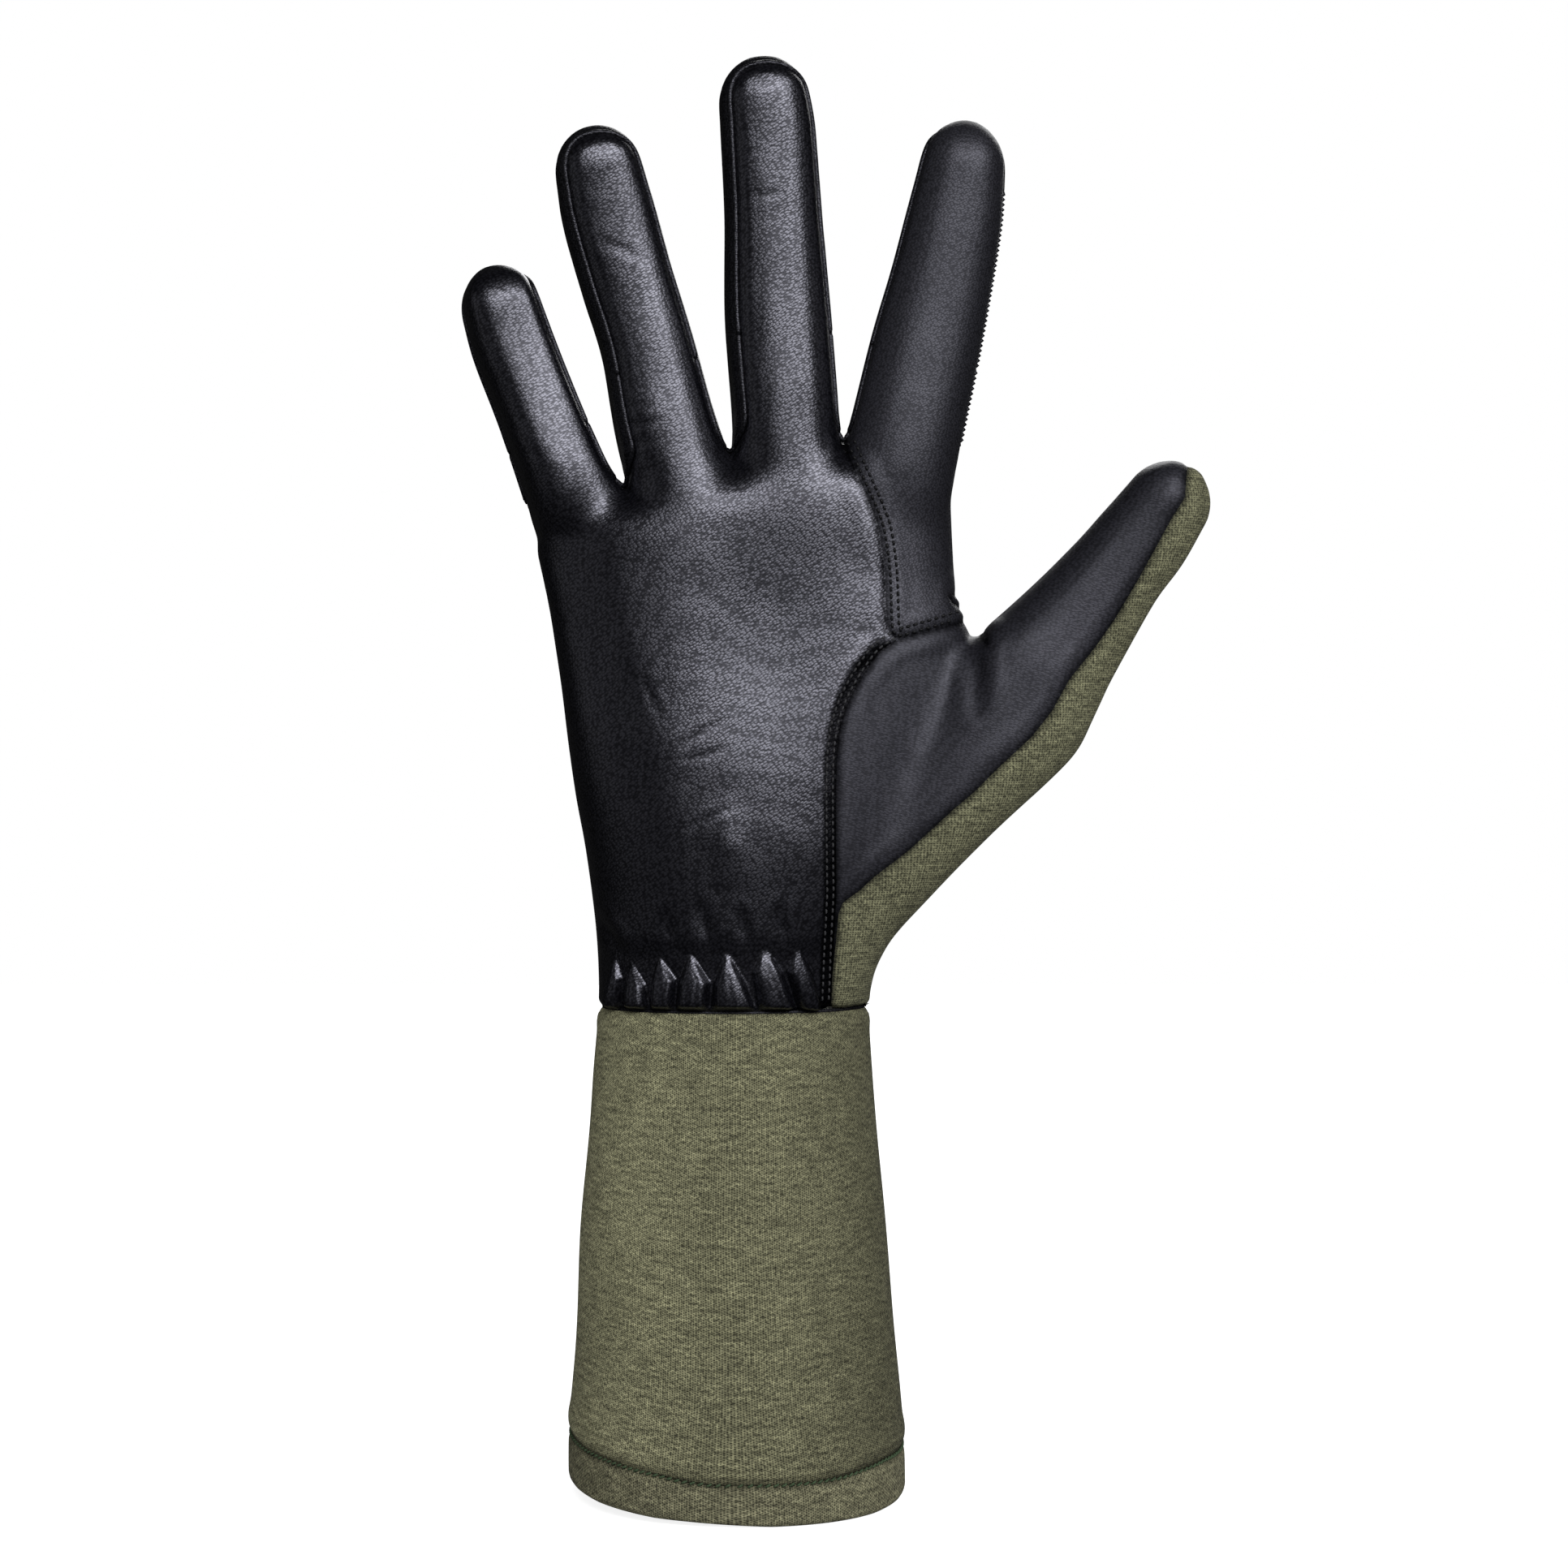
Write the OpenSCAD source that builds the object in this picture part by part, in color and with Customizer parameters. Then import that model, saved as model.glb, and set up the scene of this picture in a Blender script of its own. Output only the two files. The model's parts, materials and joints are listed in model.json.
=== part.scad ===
// Gauntlet glove, right hand, standing on its cuff: palm towards -Y, thumb towards +X, fingers up.
// The origin is the middle of the cuff's rim. All lengths are in millimetres.

/* [Materials] */
// Thickness of the leather and the knit
skin = 1.2; // [0.9:0.1:1.6]
// Gap left between two pieces that move against each other
clearance = 0.3; // [0.2:0.05:0.6]

/* [Cuff] */
// Height of the knit cuff, from its rim to the wrist seam
cuff_length = 106; // [80:1:150]
// Width of the cuff at its rim
rim_width = 74; // [68:1:90]
// Depth of the cuff at its rim, palm to back
rim_depth = 68; // [56:1:80]
// Height of the folded hem
hem_height = 9; // [6:0.5:14]

/* [Wrist] */
// Width of the wrist at the seam
wrist_width = 60; // [54:1:66]
// Depth of the wrist at the seam
wrist_depth = 44; // [38:1:50]
// Height of the hidden wrist elastic
elastic_height = 8; // [5:1:12]
// Thickness of the wrist elastic
elastic_thickness = 1.5; // [1:0.1:2.5]

/* [Palm] */
// Wrist seam to the root of the little finger, at the outer edge
palm_length = 106; // [95:1:118]
// How far the outer edge of the palm draws in between wrist and little finger
palm_hollow = 2.4; // [0:0.2:4]
// Palm side, from the middle plane to the leather, at mid palm
palm_front = 18; // [15:0.5:22]
// Back side, from the middle plane to the knit, at mid palm
palm_back = 15; // [13:0.5:18]
// Half of the hand's depth at the finger roots
knuckle_half_depth = 12.5; // [11.5:0.5:14]

/* [Fingers] */
// Width of the little finger at its root
little_width = 22; // [19:0.5:24]
// Root to tip of the little finger
little_length = 55.5; // [46:0.5:64]
// Root to middle knuckle of the little finger
little_lower = 24; // [20:0.5:28]
// Lean of the little finger from upright, in degrees
little_lean = -19.5; // [-24:0.5:-15]
// Width of the ring finger at its root
ring_width = 25; // [22:0.5:27]
// Root to tip of the ring finger
ring_length = 78; // [66:0.5:86]
// Root to middle knuckle of the ring finger
ring_lower = 35; // [30:0.5:39]
// Lean of the ring finger from upright, in degrees
ring_lean = -13.5; // [-16:0.5:-11]
// Width of the middle finger at its root
middle_width = 25; // [22:0.5:27]
// Root to tip of the middle finger
middle_length = 86.3; // [74:0.5:94]
// Root to middle knuckle of the middle finger
middle_lower = 38; // [33:0.5:42]
// Lean of the middle finger from upright, in degrees
middle_lean = -3.2; // [-5:0.2:0]
// Width of the index finger at its root
index_width = 25.5; // [23:0.5:28]
// Root to tip of the index finger
index_length = 74; // [64:0.5:84]
// Root to middle knuckle of the index finger
index_lower = 33; // [28:0.5:37]
// Lean of the index finger from upright, in degrees
index_lean = 12; // [8:0.5:16]
// Share of the root width that is left just below a fingertip
finger_taper = 0.8; // [0.72:0.02:0.9]
// The same share on the little finger, which tapers more
little_taper = 0.73; // [0.66:0.01:0.84]
// Width of the side walls between palm side and back, at the root
wall_width = 10; // [7:0.5:12]
// Width of the side walls at the fingertip
wall_tip_width = 7; // [5:0.5:9]
// How far the side walls bulge out past the seams
wall_bulge = 0.9; // [0.4:0.1:1.4]
// How far the palm side and the back stand out from the side walls
finger_dome = 6.5; // [5:0.5:8]
// Height of the rounded fingertip
tip_height = 11; // [9:0.5:13]
// How far a fingertip leans towards the palm
finger_curl = 4; // [0:0.5:8]
// Flexion of a finger at its root, in degrees
root_flex = 60; // [30:5:70]
// Flexion of a finger at its middle knuckle, in degrees
knuckle_flex = 70; // [30:5:75]
// Depth of a crease, from the palm side to the hinge line
crease_depth = 3; // [2:0.5:4]

/* [Thumb] */
// Width of the thumb at its root
thumb_width = 27.3; // [24:0.5:30]
// Root to tip of the thumb
thumb_length = 50; // [42:0.5:58]
// Root to the upper knuckle of the thumb
thumb_lower = 21; // [18:0.5:24]
// Lean of the thumb from upright, in degrees
thumb_lean = 37; // [30:1:44]
// Share of the thumb's root width that is left just below its tip
thumb_taper = 0.72; // [0.64:0.02:0.84]
// Share of the thumb's root depth that is left at its tip
thumb_thinning = 0.75; // [0.66:0.01:0.85]
// Height of the thumb crotch above the wrist seam
crotch_height = 82.3; // [74:1:88]
// Half of the thumb's depth at its root
thumb_half_depth = 13; // [11:0.5:15]
// How far the thumb root stands towards the palm side
thumb_forward = 5; // [0:0.5:9]
// Flexion of the thumb at its root, in degrees
thumb_root_flex = 35; // [20:5:50]
// Flexion of the thumb at its upper knuckle, in degrees
thumb_knuckle_flex = 55; // [30:5:70]

/* [Hidden] */

grained_black = [0.09, 0.09, 0.09];
matt_black = [0.13, 0.13, 0.13];
wall_black = [0.06, 0.06, 0.07];
olive_knit = [0.42, 0.44, 0.33];
elastic_grey = [0.55, 0.55, 0.5];

FRONT = -1;
BACK = 1;
round_steps = 48;       // sides of the cuff
dome_steps = 6;         // columns across a finger
body_rows = 4;          // rows along a straight finger piece
cap_rows = 5;           // rows over a fingertip
web_gap = 1;            // between the walls of two neighbouring fingers

// ---- Small tools ----
function mix(a, b, t) = a + (b - a) * t;
function ease(t) = t * t * (3 - 2 * t);
function direction(angle) = [cos(angle), sin(angle)];
function place(flat, y) = [flat.x, y, flat.y];
function quad(a, b, c, d) = [[a, b, c], [a, c, d]];

// A closed skin between an outer and an inner grid of points, which have the same rows and columns.
module skin_between(outer, inner, flipped = false) {
    rows = len(outer);
    cols = len(outer[0]);
    deep = rows * cols;
    function at(r, c) = r * cols + c;
    faces = [
        for (r = [0 : rows - 2], c = [0 : cols - 2])
            each concat(
                quad(at(r, c), at(r, c + 1), at(r + 1, c + 1), at(r + 1, c)),
                quad(deep + at(r, c), deep + at(r + 1, c),
                    deep + at(r + 1, c + 1), deep + at(r, c + 1))),
        for (c = [0 : cols - 2])
            each concat(
                quad(at(0, c), deep + at(0, c), deep + at(0, c + 1), at(0, c + 1)),
                quad(at(rows - 1, c), at(rows - 1, c + 1),
                    deep + at(rows - 1, c + 1), deep + at(rows - 1, c))),
        for (r = [0 : rows - 2])
            each concat(
                quad(at(r, 0), at(r + 1, 0), deep + at(r + 1, 0), deep + at(r, 0)),
                quad(at(r, cols - 1), deep + at(r, cols - 1),
                    deep + at(r + 1, cols - 1), at(r + 1, cols - 1)))
    ];
    points = [for (row = outer) each row, for (row = inner) each row];
    polyhedron(points, flipped ? [for (f = faces) [f[0], f[2], f[1]]] : faces, convexity = 6);
}

// A tube: each ring is a closed loop of points, from the bottom up.
module tube_between(outer, inner) {
    skin_rows = len(outer);
    n = len(outer[0]);
    deep = skin_rows * n;
    function at(r, c) = r * n + c % n;
    faces = [
        for (r = [0 : skin_rows - 2], c = [0 : n - 1])
            each concat(
                quad(at(r, c), at(r + 1, c), at(r + 1, c + 1), at(r, c + 1)),
                quad(deep + at(r, c), deep + at(r, c + 1), deep + at(r + 1, c + 1), deep + at(r + 1, c))),
        for (c = [0 : n - 1])
            each concat(
                quad(at(0, c), at(0, c + 1), deep + at(0, c + 1), deep + at(0, c)),
                quad(at(skin_rows - 1, c), deep + at(skin_rows - 1, c),
                    deep + at(skin_rows - 1, c + 1), at(skin_rows - 1, c + 1)))
    ];
    polyhedron([for (ring = outer) each ring, for (ring = inner) each ring], faces, convexity = 6);
}

// ---- The knuckle line: five points, from the outer edge of the little finger to that of the index ----
root_widths = [little_width, ring_width, middle_width, index_width];
root_tilts = [21.3, 15.5, 7.9, -12];
knuckle_spread = 16;    // how far the palm widens from the wrist to the little finger
knuckle_start = [-wrist_width / 2 - knuckle_spread, cuff_length + palm_length];
function knuckle_point(i) =
    i == 0 ? knuckle_start : knuckle_point(i - 1) + root_widths[i - 1] * direction(root_tilts[i - 1]);
index_web = knuckle_point(3);
index_edge = knuckle_point(4);
function knuckle_height(x) = lookup(x, [for (i = [0 : 4]) [knuckle_point(i).x, knuckle_point(i).y]]);

// ---- Outlines of the hand, seen from the palm side ----
crotch_reach = 22;      // the thumb crotch, out from the wrist's edge
thumb_rise = [8.3, 5.2];                                 // from the crotch to the thumb's root line
crotch = [wrist_width / 2 + crotch_reach, cuff_length + crotch_height];
thumb_axis = [sin(thumb_lean), cos(thumb_lean)];
thumb_across = [cos(thumb_lean), -sin(thumb_lean)];
thumb_inner = crotch + thumb_rise;
thumb_outer = thumb_inner + thumb_width * thumb_across;
wrist_left = [-wrist_width / 2, cuff_length];
wrist_right = [wrist_width / 2, cuff_length];

// Outer edge of the palm, from the wrist (0) to the little finger (1)
function palm_edge(t) = mix(wrist_left, knuckle_start, t) + [palm_hollow * sin(180 * t), 0];

// Outer edge of the thumb mound, from the wrist (0) to the thumb root (1): a soft S along its chord
mound_wave = 3.9;
mound_hollow = 1;
mound_chord = thumb_outer - wrist_right;
mound_side = [mound_chord.y, -mound_chord.x] / norm(mound_chord);
function mound_edge(t) =
    mix(wrist_right, thumb_outer, t)
    - (mound_wave * sin(360 * t) + mound_hollow * sin(180 * t)) * mound_side;

// Seam from the wrist (0) up between palm and thumb, round the corner and up to the index web (1).
// Each pair is a place along it and its distance from the middle, in half wrists.
seam_corner = 0.656;
seam_course = [
    [0, 0.7], [0.27, 0.65], [0.5, 0.69], [0.6, 0.9],
    [seam_corner, 1.14], [0.74, 1.1], [0.9, 0.96], [1, index_web.x / (wrist_width / 2)]
];
function seam(t) = [lookup(t, seam_course) * wrist_width / 2, mix(cuff_length, index_web.y, t)];

// Inner side of the index palm, from the thumb crotch (0) to the index root (1)
side_hollow = 2.5;
function index_side(t) = mix(crotch, index_edge, t) - [side_hollow * sin(180 * t), 0];

// ---- Depth of the hand ----
mid_palm = 0.45;
function half_depth(t, side) =
    let (mid_depth = side == FRONT ? palm_front : palm_back)
    lookup(t, [[0, wrist_depth / 2], [mid_palm, mid_depth], [1, knuckle_half_depth]]);
// Power of the section's curve: a plain ellipse at the wrist, and squarer over the palm
wrist_power = 2;
palm_power = 3.2;
squaring_height = 0.625;
function squareness(t) = mix(wrist_power, palm_power, ease(min(1, t / squaring_height)));

// Ends of the hand's section at height t. The right end is the thumb mound's edge below the seam's corner.
mound_share = 0.93;     // how much of the mound's edge lies below the corner
mound_top = 0.985;      // where the last swinging row meets that edge
function section_right(t, over_corner = false) =
    t < seam_corner || (t == seam_corner && !over_corner)
        ? mound_edge(t / seam_corner * mound_share)
        : index_side((t - seam_corner) / (1 - seam_corner));

function mound_forward(t) = thumb_forward * ease(min(1, t / seam_corner)) * mound_share;

// A point of the hand's skin. The place across runs from -1 at the left end to 1 at the right end.
function hand_point(left, right, across, t, side, inset) =
    let (s = seam(t),
         half = (right.x - left.x) / 2 - inset,
         x = (left.x + right.x) / 2 + half * across,
         p = squareness(t),
         rise = pow(max(0, 1 - pow(abs(across), p)), 1 / p),
         forward = t > seam_corner || x < s.x ? 0 : mound_forward(t) * (x - s.x) / (right.x - s.x),
         z = lookup(x, [[left.x, left.y], [s.x, s.y], [right.x, right.y]]))
    [x, side * (half_depth(t, side) - inset) * rise - forward, z];

// Where the seam lies across a section, from -1 to 1.
function seam_across(left, right, t, inset) =
    (seam(t).x - (left.x + right.x) / 2) / ((right.x - left.x) / 2 - inset);

// A row of the hand's skin between two places across a section, with even steps of angle.
function hand_row(left, right, from, to, steps, t, side, inset) =
    let (a = acos(-from), b = acos(-to))
    [for (k = [0 : steps]) hand_point(left, right, -cos(mix(a, b, k / steps)), t, side, inset)];

// The crease that the palm side leaves at a finger's root, and the fine gap that the back leaves.
root_slit = crease_depth * tan(root_flex / 2) + clearance / 2;
function root_cut(side) = side == FRONT ? root_slit : clearance / 2;

// The rows bend more and more to the knuckle line, and the top one stops short of the fingers.
function follow_knuckles(row, t, side) =
    [for (p = row)
        let (first = row[0].x,
             k = (p.x - first) / (row[len(row) - 1].x - first),
             straight = mix(knuckle_start, index_web, k),
             bend = knuckle_height(straight.x) - straight.y)
        [p.x, p.y, p.z + ease(t) * bend - (t == 1 ? root_cut(side) : 0)]];

low_rows = 7;
high_rows = 4;
levels = [
    for (r = [0 : low_rows]) r / low_rows * seam_corner,
    for (r = [1 : high_rows]) mix(seam_corner, 1, r / high_rows)
];

palm_cols = 9;
function palm_grid(side, inset) = [
    for (t = levels)
        let (left = palm_edge(t),
             right = section_right(t),
             row = hand_row(left, right, -1, seam_across(left, right, t, inset), palm_cols, t, side, inset))
        follow_knuckles(row, t, side)
];

index_cols = 5;
function index_grid(side, inset) = [
    for (r = [low_rows : low_rows + high_rows])
        let (t = levels[r],
             left = palm_edge(t),
             right = section_right(t, true),
             row = hand_row(left, right, seam_across(left, right, t, inset), 1, index_cols, t, side, inset))
        [for (p = row) [p.x, p.y, p.z - (t == 1 ? root_cut(side) : 0)]]
];

// The thumb mound: the rest of the hand's section up to the corner, then rows that swing round to the thumb.
mound_cols = 6;
swing_rows = 3;
function swing_row(from, to, depth, side, inset, forward) =
    let (start_depth = abs(from.y),
         a = asin(min(1, start_depth / depth)),
         away = [to.x - from.x, to.y - from.z],
         end = to - inset * away / norm(away))
    [for (k = [0 : mound_cols])
        let (angle = mix(a, 180, k / mound_cols),
             u = (cos(a) - cos(angle)) / (1 + cos(a)),
             flat = mix([from.x, from.z], end, u))
        place(flat, side * depth * sin(angle) - forward * u)];

function mound_grid(side, inset) = [
    for (r = [0 : low_rows])
        let (t = levels[r], left = palm_edge(t), right = section_right(t))
        hand_row(left, right, seam_across(left, right, t, inset), 1, mound_cols, t, side, inset),
    for (r = [1 : swing_rows])
        let (u = r / swing_rows,
             border = index_grid(side, inset)[0],
             depth = mix(half_depth(seam_corner, side), thumb_half_depth, u * u) - inset,
             target = mound_edge(mix(mound_share, mound_top, u)),
             corner_depth = abs(border[0].y),
             from = r == swing_rows
                 ? [crotch.x, 0, crotch.y] + inset * [sin(thumb_lean), 0, -cos(thumb_lean)]
                 : border[floor(u * index_cols)])
        swing_row(from, target, depth, side, inset, mix(mound_forward(seam_corner), thumb_forward, u)),
    thumb_root_row(side, inset)
];

// The row at the thumb's root line, cut short of the thumb.
thumb_slit = crease_depth * tan(thumb_root_flex / 2) + clearance / 2;
function thumb_cut(side) = side == FRONT ? thumb_slit : clearance / 2;
function thumb_root_row(side, inset) =
    let (across = thumb_width / 2 - inset,
         middle = (thumb_inner + thumb_outer) / 2 - thumb_cut(side) * thumb_axis)
    [for (k = [0 : mound_cols])
        let (angle = 180 * k / mound_cols)
        place(middle - across * cos(angle) * thumb_across,
              side * (thumb_half_depth - inset) * sin(angle) - thumb_forward)];

// ---- Fingers and thumb ----
// A digit is its root's middle, tilt of its root line, lean, length, length to the upper knuckle,
// half widths at the root and below the tip, half widths of its side walls at root and tip,
// domes at root and tip, how far its root stands forward, and its two flexions.
function finger(i, lean, length, lower, taper) = [
    (knuckle_point(i) + knuckle_point(i + 1)) / 2, root_tilts[i], lean, length, lower,
    root_widths[i] / 2 - wall_bulge - web_gap / 2, (root_widths[i] / 2 - wall_bulge) * taper,
    wall_width / 2, wall_tip_width / 2, finger_dome, finger_dome, 0, root_flex, knuckle_flex];

little = finger(0, little_lean, little_length, little_lower, little_taper);
ring = finger(1, ring_lean, ring_length, ring_lower, finger_taper);
middle = finger(2, middle_lean, middle_length, middle_lower, finger_taper);
index = finger(3, index_lean, index_length, index_lower, finger_taper);
thumb = [
    (thumb_inner + thumb_outer) / 2, -thumb_lean, thumb_lean, thumb_length, thumb_lower,
    thumb_width / 2, thumb_width / 2 * thumb_taper, 0, 0,
    thumb_half_depth, thumb_half_depth * thumb_thinning, thumb_forward,
    thumb_root_flex, thumb_knuckle_flex];

function digit_axis(d) = [sin(d[2]), cos(d[2])];
function digit_tilt(d, w) = mix(d[1], -d[2], ease(min(1, w / d[4])));
function digit_half(d, w) = mix(d[5], d[6], min(1, w / (d[3] - tip_height)));
function digit_wall(d, w) = mix(d[7], d[8], w / d[3]);
function digit_dome(d, w) = mix(d[9], d[10], w / d[3]);
function digit_centre(d, w) = -d[11] - finger_curl * pow(w / d[3], 2);
function digit_point(d, w, u, y) =
    place(d[0] + w * digit_axis(d) + u * direction(digit_tilt(d, w)), digit_centre(d, w) + y);

// How far a piece stops short of a hinge, so that it clears its neighbour at full flexion.
function digit_cut(d, w, y, side, flex) =
    let (hinge_y = crease_depth - digit_wall(d, w) - digit_dome(d, w))
    clearance / 2 + (side == FRONT ? max(0, hinge_y - y) * tan(flex / 2) : 0);

// One row of a domed side, at w along the digit. cut is -1 at its upper end, 1 at its lower end, or 0.
function dome_row(d, w, side, inset, cut = 0, flex = 0) =
    [for (k = [0 : dome_steps])
        let (angle = 180 * k / dome_steps,
             outer_y = side * (digit_wall(d, w) + digit_dome(d, w) * sin(angle)),
             y = side * (digit_wall(d, w) + (digit_dome(d, w) - inset) * sin(angle)))
        digit_point(d, w + cut * digit_cut(d, w, outer_y, side, flex),
            -(digit_half(d, w) - inset) * cos(angle), y)];

// Rows over the rounded tip.
last_cap_angle = 88;
cap_power = 0.8;        // below 1, the tip stays full before it closes
function cap_row(d, lift, side, inset) =
    let (w = d[3] - tip_height + (tip_height - inset) * sin(lift), shrink = pow(cos(lift), cap_power))
    [for (k = [0 : dome_steps])
        let (angle = 180 * k / dome_steps,
             y = side * (digit_wall(d, w) + (digit_dome(d, w) - inset) * sin(angle) * shrink))
        digit_point(d, w, -(d[6] - inset) * cos(lift) * cos(angle), y)];

function lower_grid(d, side, inset) = [
    for (r = [0 : body_rows])
        dome_row(d, d[4] * r / body_rows, side, inset,
            r == 0 ? 1 : r == body_rows ? -1 : 0, r == 0 ? d[12] : d[13])
];
function upper_grid(d, side, inset) = [
    for (r = [0 : body_rows])
        dome_row(d, mix(d[4], d[3] - tip_height, r / body_rows), side, inset, r == 0 ? 1 : 0, d[13]),
    for (k = [1 : cap_rows]) cap_row(d, k / cap_rows * last_cap_angle, side, inset)
];

module lower_side(d, side) {
    skin_between(lower_grid(d, side, 0), lower_grid(d, side, skin), side == BACK);
}
module upper_side(d, side) {
    skin_between(upper_grid(d, side, 0), upper_grid(d, side, skin), side == BACK);
}

// A side wall's row: three points from the palm side to the back, bulging in the middle.
function wall_row(d, w, hand, inset, cut = 0) =
    [for (k = [-1 : 1])
        digit_point(d, w + cut * clearance / 2,
            hand * (digit_half(d, w) + (k == 0 ? wall_bulge : 0) - inset), k * digit_wall(d, w))];
function wall_cap_row(d, turn, inset) =
    let (w = d[3] - tip_height)
    [for (k = [-1 : 1])
        let (out = (k == 0 ? wall_bulge : 0) - inset, along = w + (tip_height + out) * sin(turn))
        digit_point(d, along, -(d[6] + out) * cos(turn), k * digit_wall(d, min(d[3], along)))];

module lower_walls(d) {
    for (hand = [-1, 1]) {
        outer = [for (r = [0 : body_rows])
            wall_row(d, d[4] * r / body_rows, hand, 0, r == 0 ? 1 : r == body_rows ? -1 : 0)];
        inner = [for (r = [0 : body_rows])
            wall_row(d, d[4] * r / body_rows, hand, skin, r == 0 ? 1 : r == body_rows ? -1 : 0)];
        skin_between(outer, inner, hand > 0);
    }
}
function upper_wall_grid(d, inset) =
    let (top = d[3] - tip_height)
    [
        for (r = [0 : body_rows - 1])
            wall_row(d, mix(d[4], top, r / body_rows), -1, inset, r == 0 ? 1 : 0),
        for (k = [0 : 2 * cap_rows])
            wall_cap_row(d, 180 * k / (2 * cap_rows), inset),
        for (r = [body_rows - 1 : -1 : 0])
            wall_row(d, mix(d[4], top, r / body_rows), 1, inset, r == 0 ? 1 : 0)
    ];
module upper_walls(d) {
    skin_between(upper_wall_grid(d, 0), upper_wall_grid(d, skin));
}

// ---- Webs: an arched strip under each finger crotch, from the palm leather to the back ----
web_reach = 3.2;
web_drop = 2.6;
web_steps = 6;
web_slimming = 0.9;     // the hand is this much thinner where two fingers meet
module web(i) {
    top = knuckle_point(i);
    tilt = (root_tilts[i - 1] + root_tilts[i]) / 2;
    inner_depth = knuckle_half_depth - web_slimming - skin - clearance;
    arch = [for (k = [0 : web_steps])
        let (angle = 180 * k / web_steps)
        [web_reach * cos(angle), web_drop * (sin(angle) - 1)]];
    translate([top.x, inner_depth, top.y - clearance])
        rotate([90, 0, 0])
        rotate(tilt)
        linear_extrude(2 * inner_depth)
        polygon([for (p = arch) p, for (k = [web_steps : -1 : 0]) arch[k] - [0, skin]]);
}

// ---- Cuff ----
function ring(half_x, half_y, z) =
    [for (k = [0 : round_steps - 1]) let (a = 360 * k / round_steps) [half_x * cos(a), half_y * sin(a), z]];
function cuff_ring(z, out) =
    let (t = z / cuff_length)
    ring(mix(rim_width, wrist_width, t) / 2 + out, mix(rim_depth, wrist_depth, t) / 2 + out, z);
cuff_levels = [hem_height, mix(hem_height, cuff_length, 0.5), cuff_length];

module cuff_hem() {
    color(olive_knit) linear_extrude(hem_height) difference() {
        polygon([for (p = cuff_ring(0, 0)) [p.x, p.y]]);
        polygon([for (p = cuff_ring(0, -2 * skin)) [p.x, p.y]]);
    }
}
module cuff_knit() {
    color(olive_knit) tube_between(
        [for (z = cuff_levels) cuff_ring(z, 0)],
        [for (z = cuff_levels) cuff_ring(z, -skin)]);
}
// The elastic sits inside the wrist, just above the seam.
elastic_top = cuff_length + clearance + elastic_height;
module wrist_elastic() {
    t = (elastic_top - cuff_length) / palm_length;
    half_x = wrist_width / 2 - skin - clearance - palm_hollow * sin(180 * t);
    half_y = min(half_depth(t, FRONT), half_depth(t, BACK)) - skin - clearance;
    color(elastic_grey)
    translate([0, 0, cuff_length + clearance])
    linear_extrude(elastic_height)
    difference() {
        polygon([for (p = ring(half_x, half_y, 0)) [p.x, p.y]]);
        polygon([for (p = ring(half_x - elastic_thickness, half_y - elastic_thickness, 0)) [p.x, p.y]]);
    }
}
welt_height = 3;
welt_thickness = 0.9;
welt_gap = 0.1;
module wrist_welt() {
    levels = [cuff_length - welt_height, cuff_length];
    color(wall_black) tube_between(
        [for (z = levels) cuff_ring(z, welt_gap + welt_thickness)],
        [for (z = levels) cuff_ring(z, welt_gap)]);
}

module palm_leather() {
    color(grained_black) skin_between(palm_grid(FRONT, 0), palm_grid(FRONT, skin));
}
module hand_back_knit() {
    color(olive_knit) skin_between(palm_grid(BACK, 0), palm_grid(BACK, skin), true);
}
module index_palm_leather() {
    color(matt_black) skin_between(index_grid(FRONT, 0), index_grid(FRONT, skin));
}
module index_back_knit() {
    color(olive_knit) skin_between(index_grid(BACK, 0), index_grid(BACK, skin), true);
}
module thumb_mound_leather() {
    color(matt_black) skin_between(mound_grid(FRONT, 0), mound_grid(FRONT, skin));
}
module thumb_root_knit() {
    color(olive_knit) skin_between(mound_grid(BACK, 0), mound_grid(BACK, skin), true);
}
module web_little_ring() { color(wall_black) web(1); }
module web_ring_middle() { color(wall_black) web(2); }
module web_middle_index() { color(wall_black) web(3); }

module little_lower_leather() { color(grained_black) lower_side(little, FRONT); }
module little_lower_knit() { color(olive_knit) lower_side(little, BACK); }
module little_lower_walls() { color(wall_black) lower_walls(little); }
module little_upper_leather() { color(grained_black) upper_side(little, FRONT); }
module little_upper_knit() { color(olive_knit) upper_side(little, BACK); }
module little_upper_walls() { color(wall_black) upper_walls(little); }

module ring_lower_leather() { color(grained_black) lower_side(ring, FRONT); }
module ring_lower_knit() { color(olive_knit) lower_side(ring, BACK); }
module ring_lower_walls() { color(wall_black) lower_walls(ring); }
module ring_upper_leather() { color(grained_black) upper_side(ring, FRONT); }
module ring_upper_knit() { color(olive_knit) upper_side(ring, BACK); }
module ring_upper_walls() { color(wall_black) upper_walls(ring); }

module middle_lower_leather() { color(grained_black) lower_side(middle, FRONT); }
module middle_lower_knit() { color(olive_knit) lower_side(middle, BACK); }
module middle_lower_walls() { color(wall_black) lower_walls(middle); }
module middle_upper_leather() { color(grained_black) upper_side(middle, FRONT); }
module middle_upper_knit() { color(olive_knit) upper_side(middle, BACK); }
module middle_upper_walls() { color(wall_black) upper_walls(middle); }

module index_lower_leather() { color(matt_black) lower_side(index, FRONT); }
module index_lower_knit() { color(olive_knit) lower_side(index, BACK); }
module index_lower_walls() { color(wall_black) lower_walls(index); }
module index_upper_leather() { color(matt_black) upper_side(index, FRONT); }
module index_upper_knit() { color(olive_knit) upper_side(index, BACK); }
module index_upper_walls() { color(wall_black) upper_walls(index); }

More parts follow.
